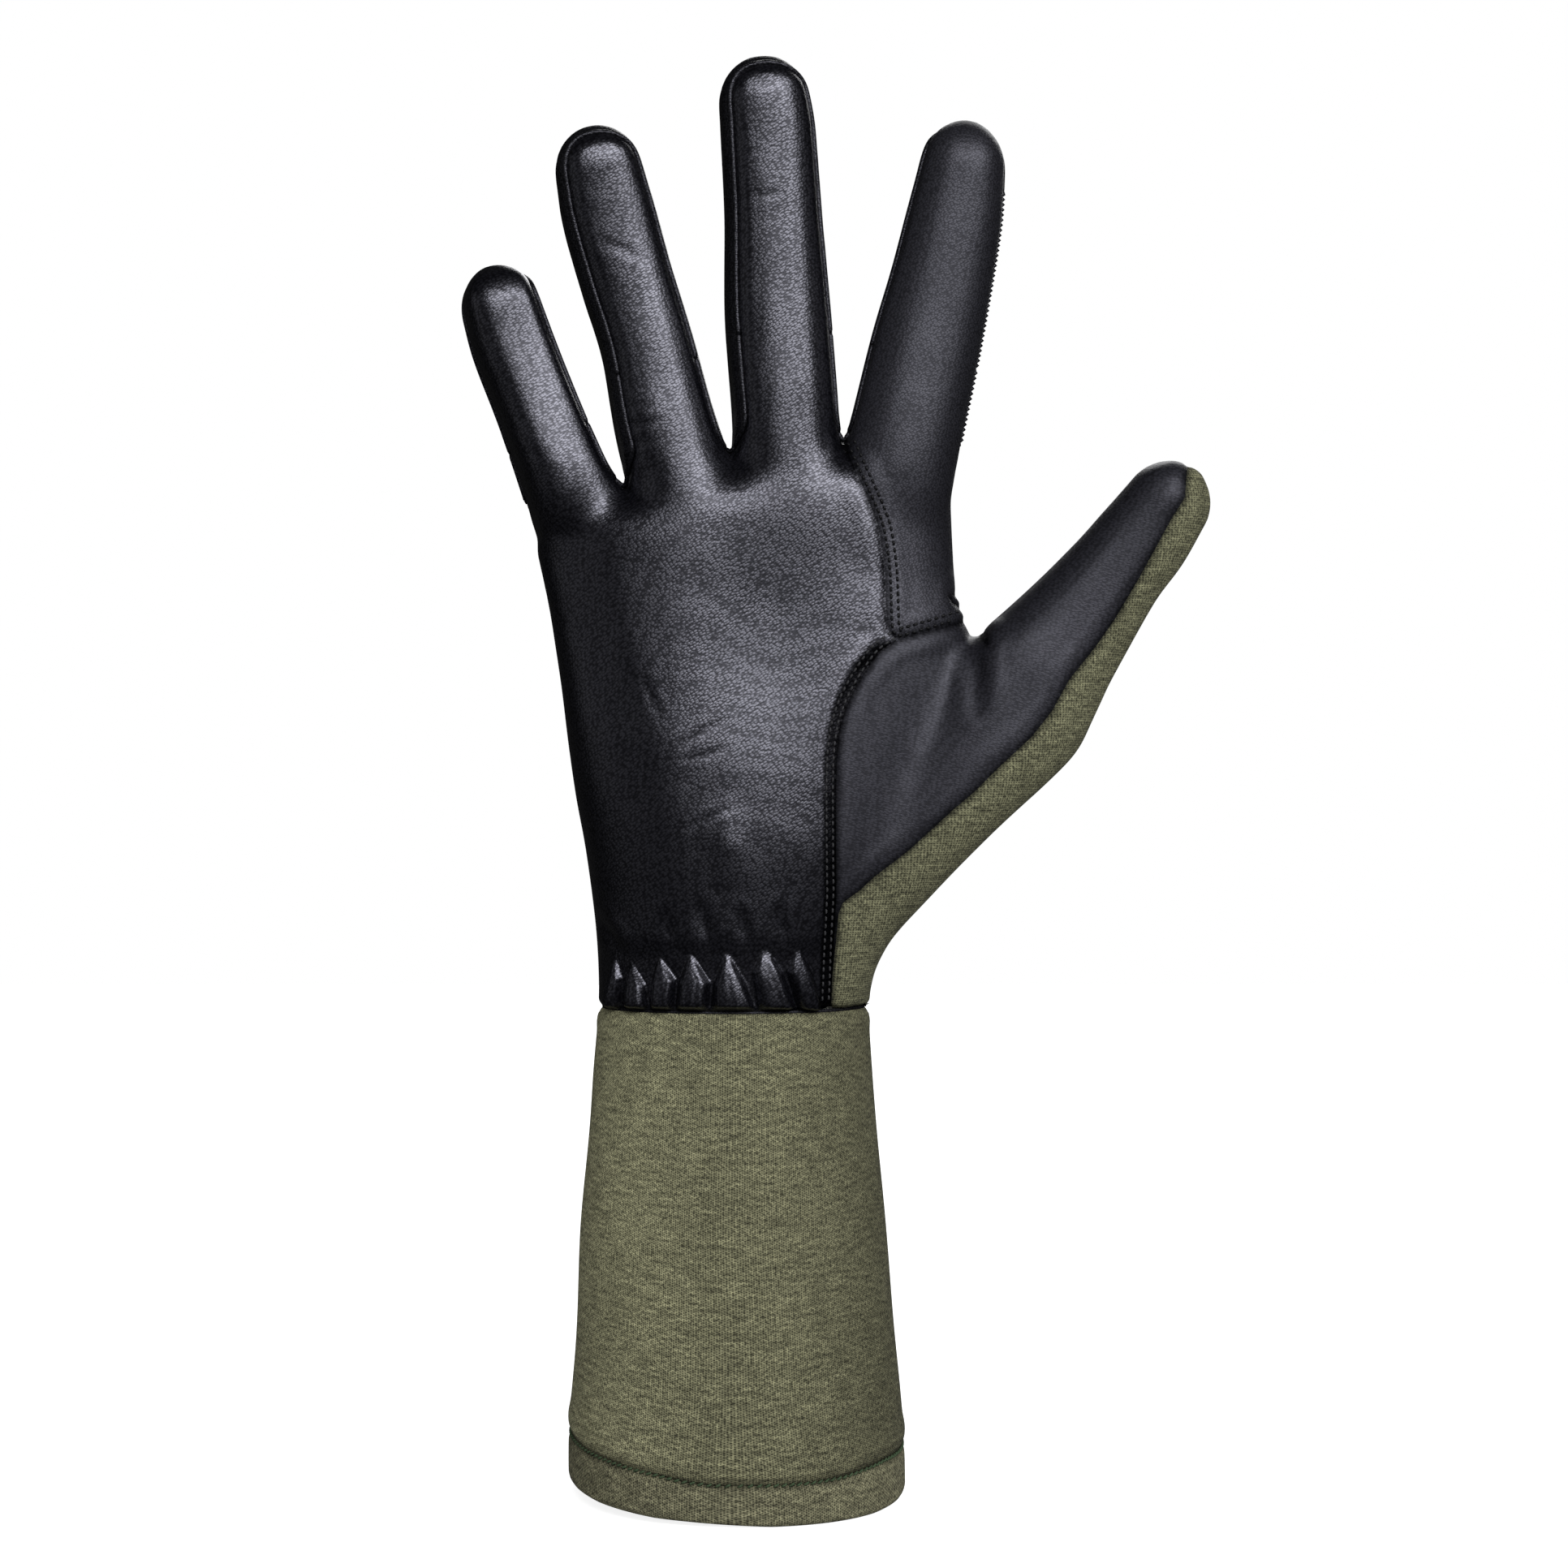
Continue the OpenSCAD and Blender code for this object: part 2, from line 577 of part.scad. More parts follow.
module thumb_lower_leather() { color(matt_black) lower_side(thumb, FRONT); }
module thumb_lower_knit() { color(olive_knit) lower_side(thumb, BACK); }
module thumb_upper_leather() { color(matt_black) upper_side(thumb, FRONT); }
module thumb_upper_knit() { color(olive_knit) upper_side(thumb, BACK); }

cuff_hem();
cuff_knit();
wrist_elastic();
wrist_welt();
palm_leather();
index_palm_leather();
thumb_mound_leather();
hand_back_knit();
index_back_knit();
thumb_root_knit();
web_little_ring();
web_ring_middle();
web_middle_index();
little_lower_leather();
little_lower_knit();
little_lower_walls();
little_upper_leather();
little_upper_knit();
little_upper_walls();
ring_lower_leather();
ring_lower_knit();
ring_lower_walls();
ring_upper_leather();
ring_upper_knit();
ring_upper_walls();
middle_lower_leather();
middle_lower_knit();
middle_lower_walls();
middle_upper_leather();
middle_upper_knit();
middle_upper_walls();
index_lower_leather();
index_lower_knit();
index_lower_walls();
index_upper_leather();
index_upper_knit();
index_upper_walls();
thumb_lower_leather();
thumb_lower_knit();
thumb_upper_leather();
thumb_upper_knit();
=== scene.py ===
"""A right-hand leather and knit gauntlet glove, filled as if worn, palm towards the camera."""

import json
import math

import bmesh
import bpy
import numpy as np
from mathutils import Vector
from mathutils.bvhtree import BVHTree
from mathutils.kdtree import KDTree
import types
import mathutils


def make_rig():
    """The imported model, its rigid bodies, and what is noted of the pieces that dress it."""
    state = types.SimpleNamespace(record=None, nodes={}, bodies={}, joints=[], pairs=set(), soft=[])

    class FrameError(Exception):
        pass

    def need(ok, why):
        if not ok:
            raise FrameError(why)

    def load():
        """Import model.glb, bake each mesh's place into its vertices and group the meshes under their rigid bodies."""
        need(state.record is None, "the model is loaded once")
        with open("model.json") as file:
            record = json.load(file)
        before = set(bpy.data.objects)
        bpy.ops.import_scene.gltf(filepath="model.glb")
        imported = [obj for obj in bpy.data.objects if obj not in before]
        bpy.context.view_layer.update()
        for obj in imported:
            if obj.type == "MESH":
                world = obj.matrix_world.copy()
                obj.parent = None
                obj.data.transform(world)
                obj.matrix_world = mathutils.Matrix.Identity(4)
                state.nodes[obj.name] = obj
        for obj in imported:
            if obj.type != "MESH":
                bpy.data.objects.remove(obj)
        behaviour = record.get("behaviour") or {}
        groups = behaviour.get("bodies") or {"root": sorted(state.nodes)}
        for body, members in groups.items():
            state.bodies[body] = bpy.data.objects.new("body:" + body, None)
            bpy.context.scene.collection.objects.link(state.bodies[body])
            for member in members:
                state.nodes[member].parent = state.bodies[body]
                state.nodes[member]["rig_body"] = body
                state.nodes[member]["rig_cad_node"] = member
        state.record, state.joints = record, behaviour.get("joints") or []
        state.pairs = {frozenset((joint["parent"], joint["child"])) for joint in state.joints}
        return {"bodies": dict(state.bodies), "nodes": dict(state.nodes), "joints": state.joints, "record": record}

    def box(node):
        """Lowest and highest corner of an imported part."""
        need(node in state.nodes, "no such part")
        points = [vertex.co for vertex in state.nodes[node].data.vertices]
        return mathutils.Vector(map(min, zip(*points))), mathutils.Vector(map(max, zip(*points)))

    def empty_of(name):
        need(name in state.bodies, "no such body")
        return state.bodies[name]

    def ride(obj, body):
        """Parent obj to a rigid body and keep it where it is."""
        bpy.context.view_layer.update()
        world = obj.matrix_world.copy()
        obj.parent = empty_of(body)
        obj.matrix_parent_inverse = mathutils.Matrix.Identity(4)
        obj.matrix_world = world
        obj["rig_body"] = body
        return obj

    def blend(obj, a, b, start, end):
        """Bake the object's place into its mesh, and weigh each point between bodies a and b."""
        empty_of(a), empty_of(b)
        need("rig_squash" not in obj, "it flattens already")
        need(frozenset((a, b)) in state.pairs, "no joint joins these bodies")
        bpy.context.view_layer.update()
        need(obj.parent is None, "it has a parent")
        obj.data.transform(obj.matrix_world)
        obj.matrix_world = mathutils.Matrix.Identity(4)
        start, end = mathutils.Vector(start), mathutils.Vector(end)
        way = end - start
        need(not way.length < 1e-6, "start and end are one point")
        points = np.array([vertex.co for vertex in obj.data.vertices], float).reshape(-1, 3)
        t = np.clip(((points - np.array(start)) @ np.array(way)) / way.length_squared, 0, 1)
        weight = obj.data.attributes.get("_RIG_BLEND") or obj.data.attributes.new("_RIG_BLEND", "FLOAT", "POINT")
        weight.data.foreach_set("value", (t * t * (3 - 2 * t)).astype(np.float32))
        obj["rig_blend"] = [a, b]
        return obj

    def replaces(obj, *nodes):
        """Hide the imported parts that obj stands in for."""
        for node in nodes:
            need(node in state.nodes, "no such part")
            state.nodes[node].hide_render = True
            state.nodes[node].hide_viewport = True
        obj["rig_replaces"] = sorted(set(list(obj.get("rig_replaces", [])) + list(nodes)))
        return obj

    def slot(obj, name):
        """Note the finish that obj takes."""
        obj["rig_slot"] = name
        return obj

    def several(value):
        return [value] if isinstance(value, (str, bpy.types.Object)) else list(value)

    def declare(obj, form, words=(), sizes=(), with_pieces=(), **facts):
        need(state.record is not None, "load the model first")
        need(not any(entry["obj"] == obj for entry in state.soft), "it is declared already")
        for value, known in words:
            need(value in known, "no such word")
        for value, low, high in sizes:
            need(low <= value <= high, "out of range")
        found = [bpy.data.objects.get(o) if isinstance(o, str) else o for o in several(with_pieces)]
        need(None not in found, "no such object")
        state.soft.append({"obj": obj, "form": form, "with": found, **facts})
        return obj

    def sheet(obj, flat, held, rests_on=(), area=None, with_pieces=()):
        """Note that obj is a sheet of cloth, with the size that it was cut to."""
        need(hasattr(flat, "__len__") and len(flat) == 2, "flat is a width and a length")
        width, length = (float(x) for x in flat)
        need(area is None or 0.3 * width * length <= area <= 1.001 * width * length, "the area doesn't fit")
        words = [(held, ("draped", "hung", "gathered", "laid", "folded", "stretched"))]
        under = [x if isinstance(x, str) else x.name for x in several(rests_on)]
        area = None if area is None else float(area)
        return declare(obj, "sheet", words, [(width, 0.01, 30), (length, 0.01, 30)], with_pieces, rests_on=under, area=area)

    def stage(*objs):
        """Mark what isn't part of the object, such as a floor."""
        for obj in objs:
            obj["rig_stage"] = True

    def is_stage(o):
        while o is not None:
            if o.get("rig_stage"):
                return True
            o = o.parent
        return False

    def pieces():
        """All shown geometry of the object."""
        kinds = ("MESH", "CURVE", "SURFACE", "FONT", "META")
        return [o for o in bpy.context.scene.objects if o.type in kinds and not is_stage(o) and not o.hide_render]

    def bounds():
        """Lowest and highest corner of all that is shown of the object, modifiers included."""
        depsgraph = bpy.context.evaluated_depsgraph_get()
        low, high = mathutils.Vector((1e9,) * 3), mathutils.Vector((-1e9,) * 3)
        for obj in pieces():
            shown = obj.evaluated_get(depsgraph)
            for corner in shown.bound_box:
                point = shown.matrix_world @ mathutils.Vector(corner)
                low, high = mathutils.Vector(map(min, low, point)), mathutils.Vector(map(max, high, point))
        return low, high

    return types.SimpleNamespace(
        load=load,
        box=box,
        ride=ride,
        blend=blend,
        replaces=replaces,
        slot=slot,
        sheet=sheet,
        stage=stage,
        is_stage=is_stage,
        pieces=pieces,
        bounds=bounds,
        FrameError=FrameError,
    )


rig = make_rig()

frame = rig.load()
CAD_BOX = [list(corner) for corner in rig.bounds()]
MM = 0.001


# ---- The view ----
# A long lens looks level at the palm, with the glove's middle a little to its left, as a catalogue
# picture is taken. The floor and the room are pale, and the room is dimmer to the black leather.
EYE_X, EYE_AWAY, EYE_Z = 10.35, 600, 154.8      # mm
CAMERA_PLACE = Vector((EYE_X * MM, -EYE_AWAY * MM, EYE_Z * MM))
CAMERA_LENS = 62.6
SENSOR_WIDTH = 36.0
IMAGE_W = IMAGE_H = 1568

camera = bpy.data.objects.new("camera", bpy.data.cameras.new("camera"))
camera.location = CAMERA_PLACE
camera.rotation_euler = (math.radians(90), 0, 0)
camera.data.lens = CAMERA_LENS
camera.data.sensor_width = SENSOR_WIDTH
camera.data.sensor_fit = "AUTO"
camera.data.clip_start = 0.05
bpy.context.collection.objects.link(camera)
bpy.context.scene.camera = camera
bpy.context.scene.view_settings.view_transform = "Standard"

# Where the photograph shows the glove's edges and features, in that frame of 1568 by 1568.
IMAGE_POINTS = {
    "left_edge": (461.8, None), "right_edge": (1214.1, None), "top_edge": (None, 56.8), "bottom_edge": (None, 1529.0),
    "little_tip": (497.9, 264.6), "ring_tip": (596.1, 126.6), "index_tip": (None, 121.7), "thumb_tip": (1172.8, 461.8),
    "web_little_ring": (613.6, 478.8), "web_ring_middle": (730.4, 448.8), "web_middle_index": (840.8, 437.4),
    "thumb_crotch": (974.7, 632.2), "seam_corner": (897.6, 639.5), "wrist_seam_cord": (733.0, 1011.2),
    "index_seam_stitches": (889.0, 562.2), "thumb_seam_stitches": (832.5, 783.2), "hem_stitches": (730.4, 1489.3),
}

LAMP_AIM = Vector((0.01, 0, 0.16))      # the middle of the glove
LAMPS = {               # place in metres, watts, width and height
    "key_lamp": ((0.38, -0.94, 0.74), 20.5, 1.3, 0.42),
    "side_lamp": ((-1.1, -0.5, 0.3), 1.0, 1.0, 1.0),
    "back_lamp": ((0.3, 1.2, 0.9), 9.0, 0.8, 0.8),
}
ROOM_LEVEL = 0.285      # the pale room as it lights the glove
ROOM_IN_GLOSS = 0.02    # and as the black leather mirrors it
FLOOR_COLOUR, FLOOR_GLOW = (0.6, 0.02, 0.6), (0.0, 0.01, 0.85)      # lit, mirrored, and to the camera

for name, (place, watts, wide, high) in LAMPS.items():
    light = bpy.data.lights.new(name, "AREA")
    light.shape, light.energy, light.size, light.size_y = "RECTANGLE", watts, wide, high
    holder = bpy.data.objects.new(name, light)
    holder.location = place
    holder.rotation_euler = (LAMP_AIM - Vector(place)).to_track_quat("-Z", "Y").to_euler()
    bpy.context.collection.objects.link(holder)


def feed(node, sockets):
    """Gives the sockets of a shader node their values or their links."""
    for key, value in dict(sockets).items():
        if isinstance(value, bpy.types.NodeSocket):
            node.id_data.links.new(value, node.inputs[key])
        else:
            node.inputs[key].default_value = value


def wire(tree, kind, sockets=(), **settings):
    """A new shader node with its settings, its values and its links."""
    node = tree.nodes.new("ShaderNode" + kind)
    for key, value in settings.items():
        setattr(node, key, value)
    feed(node, sockets)
    return node


def new_material(name):
    """A node material, with its tree and its main shader."""
    material = bpy.data.materials.new(name)
    material.use_nodes = True
    return material, material.node_tree, material.node_tree.nodes["Principled BSDF"]


def seen_white(tree, lit, mirrored, white):
    """white for what the camera sees, straight or through glass; mirrored in glossy reflections; else lit."""
    path = wire(tree, "LightPath").outputs
    gloss = wire(tree, "MapRange", {"Value": path["Is Glossy Ray"], "To Min": lit, "To Max": mirrored})
    straight = wire(tree, "Math", {0: path["Is Camera Ray"], 1: path["Is Transmission Ray"]},
                    operation="ADD", use_clamp=True)
    return wire(tree, "MapRange", {"Value": straight.outputs[0], "To Min": gloss.outputs[0],
                                   "To Max": white}).outputs[0]


room = bpy.data.worlds.new("pale_room")
bpy.context.scene.world = room
room.use_nodes = True
feed(room.node_tree.nodes["Background"], {
    "Color": (1, 1, 1, 1), "Strength": seen_white(room.node_tree, ROOM_LEVEL, ROOM_IN_GLOSS, 1.0)})

bpy.ops.object.select_all(action="DESELECT")
bpy.ops.mesh.primitive_plane_add(size=3.0)
floor = bpy.context.object
floor.name = "floor"
floor_paint, tree, paint = new_material("pale_floor")
feed(paint, {"Base Color": seen_white(tree, *FLOOR_COLOUR), "Roughness": 0.9, "Specular IOR Level": 0.1,
             "Emission Color": (1, 1, 1, 1), "Emission Strength": seen_white(tree, *FLOOR_GLOW)})
floor.data.materials.append(floor_paint)
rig.stage(floor)


# ---- The filled hand ----
# The real glove is cut from flat leather and knit and takes its form from the hand in it. Here the form
# comes first: a palm, a thumb mound and five digits are lofted, joined and smoothed into one skin.
SKIN_GRAIN = 0.75 * MM  # size of the skin's faces
RING_POINTS = 56


def through(rows, steps):
    """Rows of numbers, made denser by a smooth curve through them, with steps between two of them."""
    rows = np.array(rows, float)
    ends = np.vstack([2 * rows[0] - rows[1], rows, 2 * rows[-1] - rows[-2]])
    dense = []
    for k in range(len(rows) - 1):
        a, b, c, d = ends[k:k + 4]
        for t in np.arange(steps) / steps:
            dense.append(0.5 * (2 * b + (c - a) * t + (2 * a - 5 * b + 4 * c - d) * t ** 2
                                + (3 * b - a - 3 * c + d) * t ** 3))
    return np.array(dense + [rows[-1]])


def way_along(points):
    """How far each point of a line is from its start, along the line."""
    return np.append(0, np.cumsum(np.linalg.norm(np.diff(points, axis=0), axis=1)))


def unit(vectors):
    """Rows of numbers as directions, each of length 1."""
    return vectors / np.linalg.norm(vectors, axis=1)[:, None]


def oval(power):
    """The points of a rounded section, 1 wide and 1 deep each way, the palm side first."""
    turn = np.arange(RING_POINTS) * 2 * math.pi / RING_POINTS
    c, s = np.cos(turn), np.sin(turn)
    return np.sign(c) * abs(c) ** (2 / power), -np.sign(s) * abs(s) ** (2 / power)


def new_object(name, corners, faces):
    """An object of the scene, from its corners in metres and its faces."""
    mesh = bpy.data.meshes.new(name)
    mesh.from_pydata(corners.tolist(), [], faces)
    piece = bpy.data.objects.new(name, mesh)
    bpy.context.collection.objects.link(piece)
    return piece


def face_outward(mesh):
    edit = bmesh.new()
    edit.from_mesh(mesh)
    bmesh.ops.recalc_face_normals(edit, faces=edit.faces)
    edit.to_mesh(mesh)
    edit.free()


def loft(name, rings):
    """A closed skin over a row of rings, in mm."""
    n = RING_POINTS
    faces = [(k * n + j, k * n + (j + 1) % n, (k + 1) * n + (j + 1) % n, (k + 1) * n + j)
             for k in range(len(rings) - 1) for j in range(n)]
    faces += [tuple(range(n))[::-1], tuple((len(rings) - 1) * n + j for j in range(n))]
    part = new_object(name, np.concatenate(rings) * MM, faces)
    face_outward(part.data)
    return part


# Palm, from the wrist seam up: height, left edge, right edge, depth to the palm side and to the back.
PALM_ROWS = [
    (104, -30.4, 29.4, 20.8, 21.5), (112, -30.2, 29.7, 21.3, 20.8), (124, -30.9, 35.5, 22.1, 18.5),
    (140, -33.0, 42.0, 22.4, 16.5), (152, -35.2, 45.0, 21.7, 15.6), (164, -36.9, 48.0, 20.8, 14.8),
    (176, -38.3, 51.0, 19.7, 14.0), (187, -39.8, 50.6, 18.7, 13.2), (196, -41.1, 47.9, 17.9, 12.4),
    (205, -42.7, 47.2, 17.2, 11.6), (212, -44.0, 46.9, 16.5, 10.8),
]
PALM_ROUND, PALM_SQUARE = 2, 0.6        # its section is an ellipse at the wrist and squarer above
PALM_TOP = 7            # height of the palm's rounded upper end
PALM_TOP_TURNS = (25, 50, 72, 86)       # degrees
PALM_CROWN = [(-44.5, -6), (-25.5, -1), (0, 6), (23, 9), (47, 4)]   # how the finger roots step up

rings = []
for z, left, right, front, back in through(PALM_ROWS, 5):
    across, deep = oval(PALM_ROUND + PALM_SQUARE * min(1, (z - PALM_ROWS[0][0]) / 60))
    deep = np.where(deep < 0, deep * front, deep * back)
    x = (left + right) / 2 + across * (right - left) / 2
    rise = np.clip((z - 150) / 64, 0, 1) ** 2
    rings.append(np.stack([x, deep, z + np.interp(x, *zip(*PALM_CROWN)) * rise], 1))
last = rings[-1]
middle = last.mean(axis=0)
for turn in PALM_TOP_TURNS:
    shrink, lift = math.cos(math.radians(turn)), math.sin(math.radians(turn)) * PALM_TOP
    ring = last.copy()
    ring[:, 0] = middle[0] + (last[:, 0] - middle[0]) * (1 - (1 - shrink) * 0.25)
    ring[:, 1] *= shrink
    ring[:, 2] += lift
    rings.append(ring)
parts = [loft("palm_form", rings)]

# Thumb mound, from the wrist to the thumb: inner and outer edge, depths, and how far each edge stands forward.
MOUND_ROWS = [
    (6, 113, 28.9, 106.5, 17, 18.5, 0, 0), (12, 124, 31.6, 117.5, 17, 17.5, 0, 0.5),
    (20, 137, 42.8, 130.5, 17, 16, 0, 1.5), (29, 151, 55.8, 144.0, 17, 15, 0.5, 3),
    (38, 166, 68.5, 155.8, 16.0, 14, 1.8, 4.2), (46.2, 178.6, 74.2, 162.0, 14.4, 13.4, 3.4, 4.8),
    (52.6, 187.3, 77.6, 168.8, 13.2, 13.2, 5, 5), (59.6, 192.3, 81.2, 176.6, 12.4, 12.4, 5, 5),
]
MOUND_SQUARE = 2.7
rings = []
for x0, z0, x1, z1, front, back, inner_y, outer_y in through(MOUND_ROWS, 5):
    across, deep = oval(MOUND_SQUARE)
    share = (across + 1) / 2
    rings.append(np.stack([x0 + (x1 - x0) * share,
                           np.where(deep < 0, deep * front, deep * back) - inner_y - (outer_y - inner_y) * share,
                           z0 + (z1 - z0) * share], 1))
parts.append(loft("mound_form", rings))

# Digits: each row is a place on the middle line (x, z) and the width there. Then the tip's length, the half
# depths at root and tip, its turn about its own line in degrees, how far the root stands forward, how far its
# palm side is sunk at the root, and how far the tip leans to the palm side.
DIGITS = {
    "little": dict(rows=[(-33.4, 212, 21.0), (-37.9, 222, 18.6), (-43.4, 236.2, 17.2), (-48.9, 250.5, 17.2),
                         (-51.6, 259.0, 16.4)],
                   tip=9.4, depth=(13.6, 8.8), roll=11, forward=2.4, sunk=3.0, curl=2.5),
    "ring": dict(rows=[(-9.3, 212, 24.0), (-15.4, 232, 22.2), (-19.6, 250.5, 20.2), (-24.0, 264.8, 20.2),
                       (-28.0, 279.1, 20.3), (-30.2, 289.0, 18.9)],
                 tip=9.9, depth=(14.6, 9.6), roll=3, forward=2.4, sunk=0.8, curl=6),
    "middle": dict(rows=[(11.6, 214, 24.6), (10.6, 235, 23.2), (8.9, 257.7, 22.9), (7.9, 279.1, 21.0),
                         (6.8, 296.9, 20.4), (6.0, 304.0, 19.6)],
                   tip=10.1, depth=(14.6, 9.8), roll=0, forward=2.4, sunk=0.8, curl=3.5),
    "index": dict(rows=[(33.0, 214, 26.0), (37.2, 233, 24.3), (41.2, 250.5, 23.5), (44.6, 264.8, 21.9),
                        (47.6, 279.1, 20.4), (49.2, 289.0, 18.4)],
                  tip=11.0, depth=(14.0, 9.8), roll=0, forward=2.4, sunk=2.6, curl=2.5),
    "thumb": dict(rows=[(65.0, 178.0, 30.6), (73.6, 189.0, 25.6), (82.4, 200.6, 21.4), (88.5, 208.2, 20.4),
                        (93.4, 215.2, 18.6)],
                  tip=9.8, depth=(13.2, 9.8), roll=0, forward=5, sunk=0, curl=4),
}
DIGIT_STEPS = 9
LITTLE_SQUARE, DIGIT_SQUARE = 3.0, 2.45
TIP_TURNS = (12, 24, 36, 48, 58, 68, 76, 83, 88)        # degrees
SUNK_REACH = 15


def digit_ring(name, x, z, ahead, half, depth, middle, share):
    """One ring of a digit about a place of its middle line. share is how far up the digit it is."""
    across, deep = oval(LITTLE_SQUARE if name == "little" else DIGIT_SQUARE)
    roll = math.radians(DIGITS[name]["roll"])
    side = across * half * math.cos(roll) - deep * depth * math.sin(roll)
    front = deep * depth * math.cos(roll) + across * half * math.sin(roll)
    ring = np.stack([x + side * ahead[1], middle + front, z - side * ahead[0]], 1)
    if name != "thumb":     # what leans towards the camera would show larger and further out, so it is drawn in
        flat = ring[:, [0, 2]]
        ring[:, [0, 2]] += (np.array([EYE_X, EYE_Z]) - flat) * DIGITS[name]["curl"] * share ** 2 / EYE_AWAY
    return ring


for name, digit in DIGITS.items():
    rows = through(digit["rows"], DIGIT_STEPS)
    along = unit(np.gradient(rows[:, :2], axis=0))
    way = way_along(rows[:, :2])
    share = way / (way[-1] + digit["tip"])
    root_deep, tip_deep = digit["depth"]
    rings = []
    for (x, z, width), ahead, s, done in zip(rows, along, share, way):
        sunk = digit["sunk"] * max(1 - done / SUNK_REACH, 0) ** 2
        middle = -digit["forward"] - digit["curl"] * s ** 2 + sunk / 2
        depth = tip_deep + (root_deep - tip_deep) * (1 - s) ** 2 - sunk / 2
        rings.append(digit_ring(name, x, z, ahead, width / 2, depth, middle, s))
    for turn in TIP_TURNS:
        c, s = math.cos(math.radians(turn)) ** 1.12, math.sin(math.radians(turn))
        run = share[-1] + (1 - share[-1]) * s
        middle = -digit["forward"] - digit["curl"] * run ** 2
        step = digit["tip"] * s
        rings.append(digit_ring(name, x + step * ahead[0], z + step * ahead[1], ahead, width / 2 * c, tip_deep * c,
                                middle, run))
    parts.append(loft(name + "_form", rings))
    digit["spine"] = np.vstack([rows[:, :2], rows[-1, :2] + along[-1] * digit["tip"]])
    digit["half"] = np.append(rows[:, 2], rows[-1, 2] * 0.98) / 2
    digit["way"] = np.append(way, way[-1] + digit["tip"])

# The parts become one skin, and its inner corners are softened as a hand softens them.
bpy.ops.object.select_all(action="DESELECT")
for part in parts:
    part.select_set(True)
bpy.context.view_layer.objects.active = parts[0]
bpy.ops.object.join()
form = bpy.context.object
form.name = "hand_form"
remesh = form.modifiers.new("one_skin", "REMESH")
remesh.mode, remesh.voxel_size, remesh.use_smooth_shade = "VOXEL", SKIN_GRAIN, True
bpy.ops.object.modifier_apply(modifier="one_skin")
places = np.empty(len(form.data.vertices) * 3)
form.data.vertices.foreach_get("co", places)
places = places.reshape(-1, 3) / MM
# Softened: the crotches, each with its reach, and the thumb's side of the palm down to the wrist.
CROTCHES = np.array([(-25.5, 219.5), (-1.4, 226.2), (23.3, 229.6), (52.2, 188.3), (50, 214), (-42, 212)])
CROTCH_REACH = np.array([24, 24, 24, 12, 24, 24])
x, y, z = places.T
near = np.min(np.linalg.norm(places[:, None, [0, 2]] - CROTCHES[None], axis=2) / CROTCH_REACH, axis=1)
low = np.clip((192 - z) / 12, 0, 1) * np.clip(x / 30, 0, 0.9)
corners = np.maximum(np.clip(1.2 - near, 0.0, 1), low)
# Blended: the line where the mound rises from the palm, and the one where the fingers do.
mound_join = np.clip(1.3 - abs((x - 31) * 0.944 - (z - 130) * 0.33) / 13, 0, 1)
mound_join *= np.clip((190 - z) / 10, 0, 1) * np.clip(-y / 6, 0, 1)
crown = 215 + np.interp(x, *zip(*PALM_CROWN))
root_join = np.clip(1.4 - abs(z - crown) / 13, 0, 1) * np.clip((-y - 5) / 5, 0, 1) * (x < 48)
for label, weights, rounds in (("even_out", None, 5), ("soften", corners, 26), ("blend", mound_join, 240),
                               ("flow", root_join, 150)):
    smooth = form.modifiers.new(label, "SMOOTH")
    smooth.factor, smooth.iterations = 0.5, rounds
    if weights is not None:
        group = form.vertex_groups.new(name=label + "_here")
        for v in np.nonzero(weights > 0.02)[0]:
            group.add([int(v)], weights[v], "REPLACE")
        smooth.vertex_group = group.name
    bpy.ops.object.modifier_apply(modifier=label)


# ---- Where the seams run ----
# The pattern maker's lines. A place on the skin is known by how the camera sees it on the glove's middle
# plane, by the digit it belongs to, and by its depth. All lengths are in millimetres.
CREASES = {             # above the root's line: the bend starts, the bend ends, the cut, and the knuckle's bend
    "little": (1.5, 13.0, 15.2, 17.5, 31.0), "ring": (1.5, 17.0, 22.0, 27.0, 43.0),
    "middle": (1.5, 18.0, 24.0, 30.0, 46.0), "index": (1.5, 17.0, 21.0, 25.0, 41.0),
    "thumb": (-6.0, 8.0, 11.0, 14.0, 28.0),
}
for joint in frame["joints"]:
    digit, place = joint["name"].split("_")[:2]
    DIGITS[digit][place] = np.array(joint["pos_m"])[[0, 2]] / MM
    if place == "root":
        ax, _, az = joint["axis"]
        DIGITS[digit]["rise"] = np.array([-az, ax]) / math.hypot(ax, az)
for name, digit in DIGITS.items():
    digit["lean"] = (digit["knuckle"] - digit["root"]) / np.linalg.norm(digit["knuckle"] - digit["root"])
    digit["root_way"] = digit["way"][np.argmin(np.linalg.norm(digit["spine"] - digit["root"], axis=1))]
    digit["length"] = digit["way"][-1]
    digit["tip_deep"], digit["thicker"] = digit["depth"][1], digit["depth"][0] - digit["depth"][1]
    digit["start"], digit["cut"] = CREASES[name][0], CREASES[name][2]


def ease(t):
    """From 0 to 1, slow at both ends, as t goes from 0 to 1."""
    t = np.clip(t, 0, 1)
    return t * t * (3 - 2 * t)


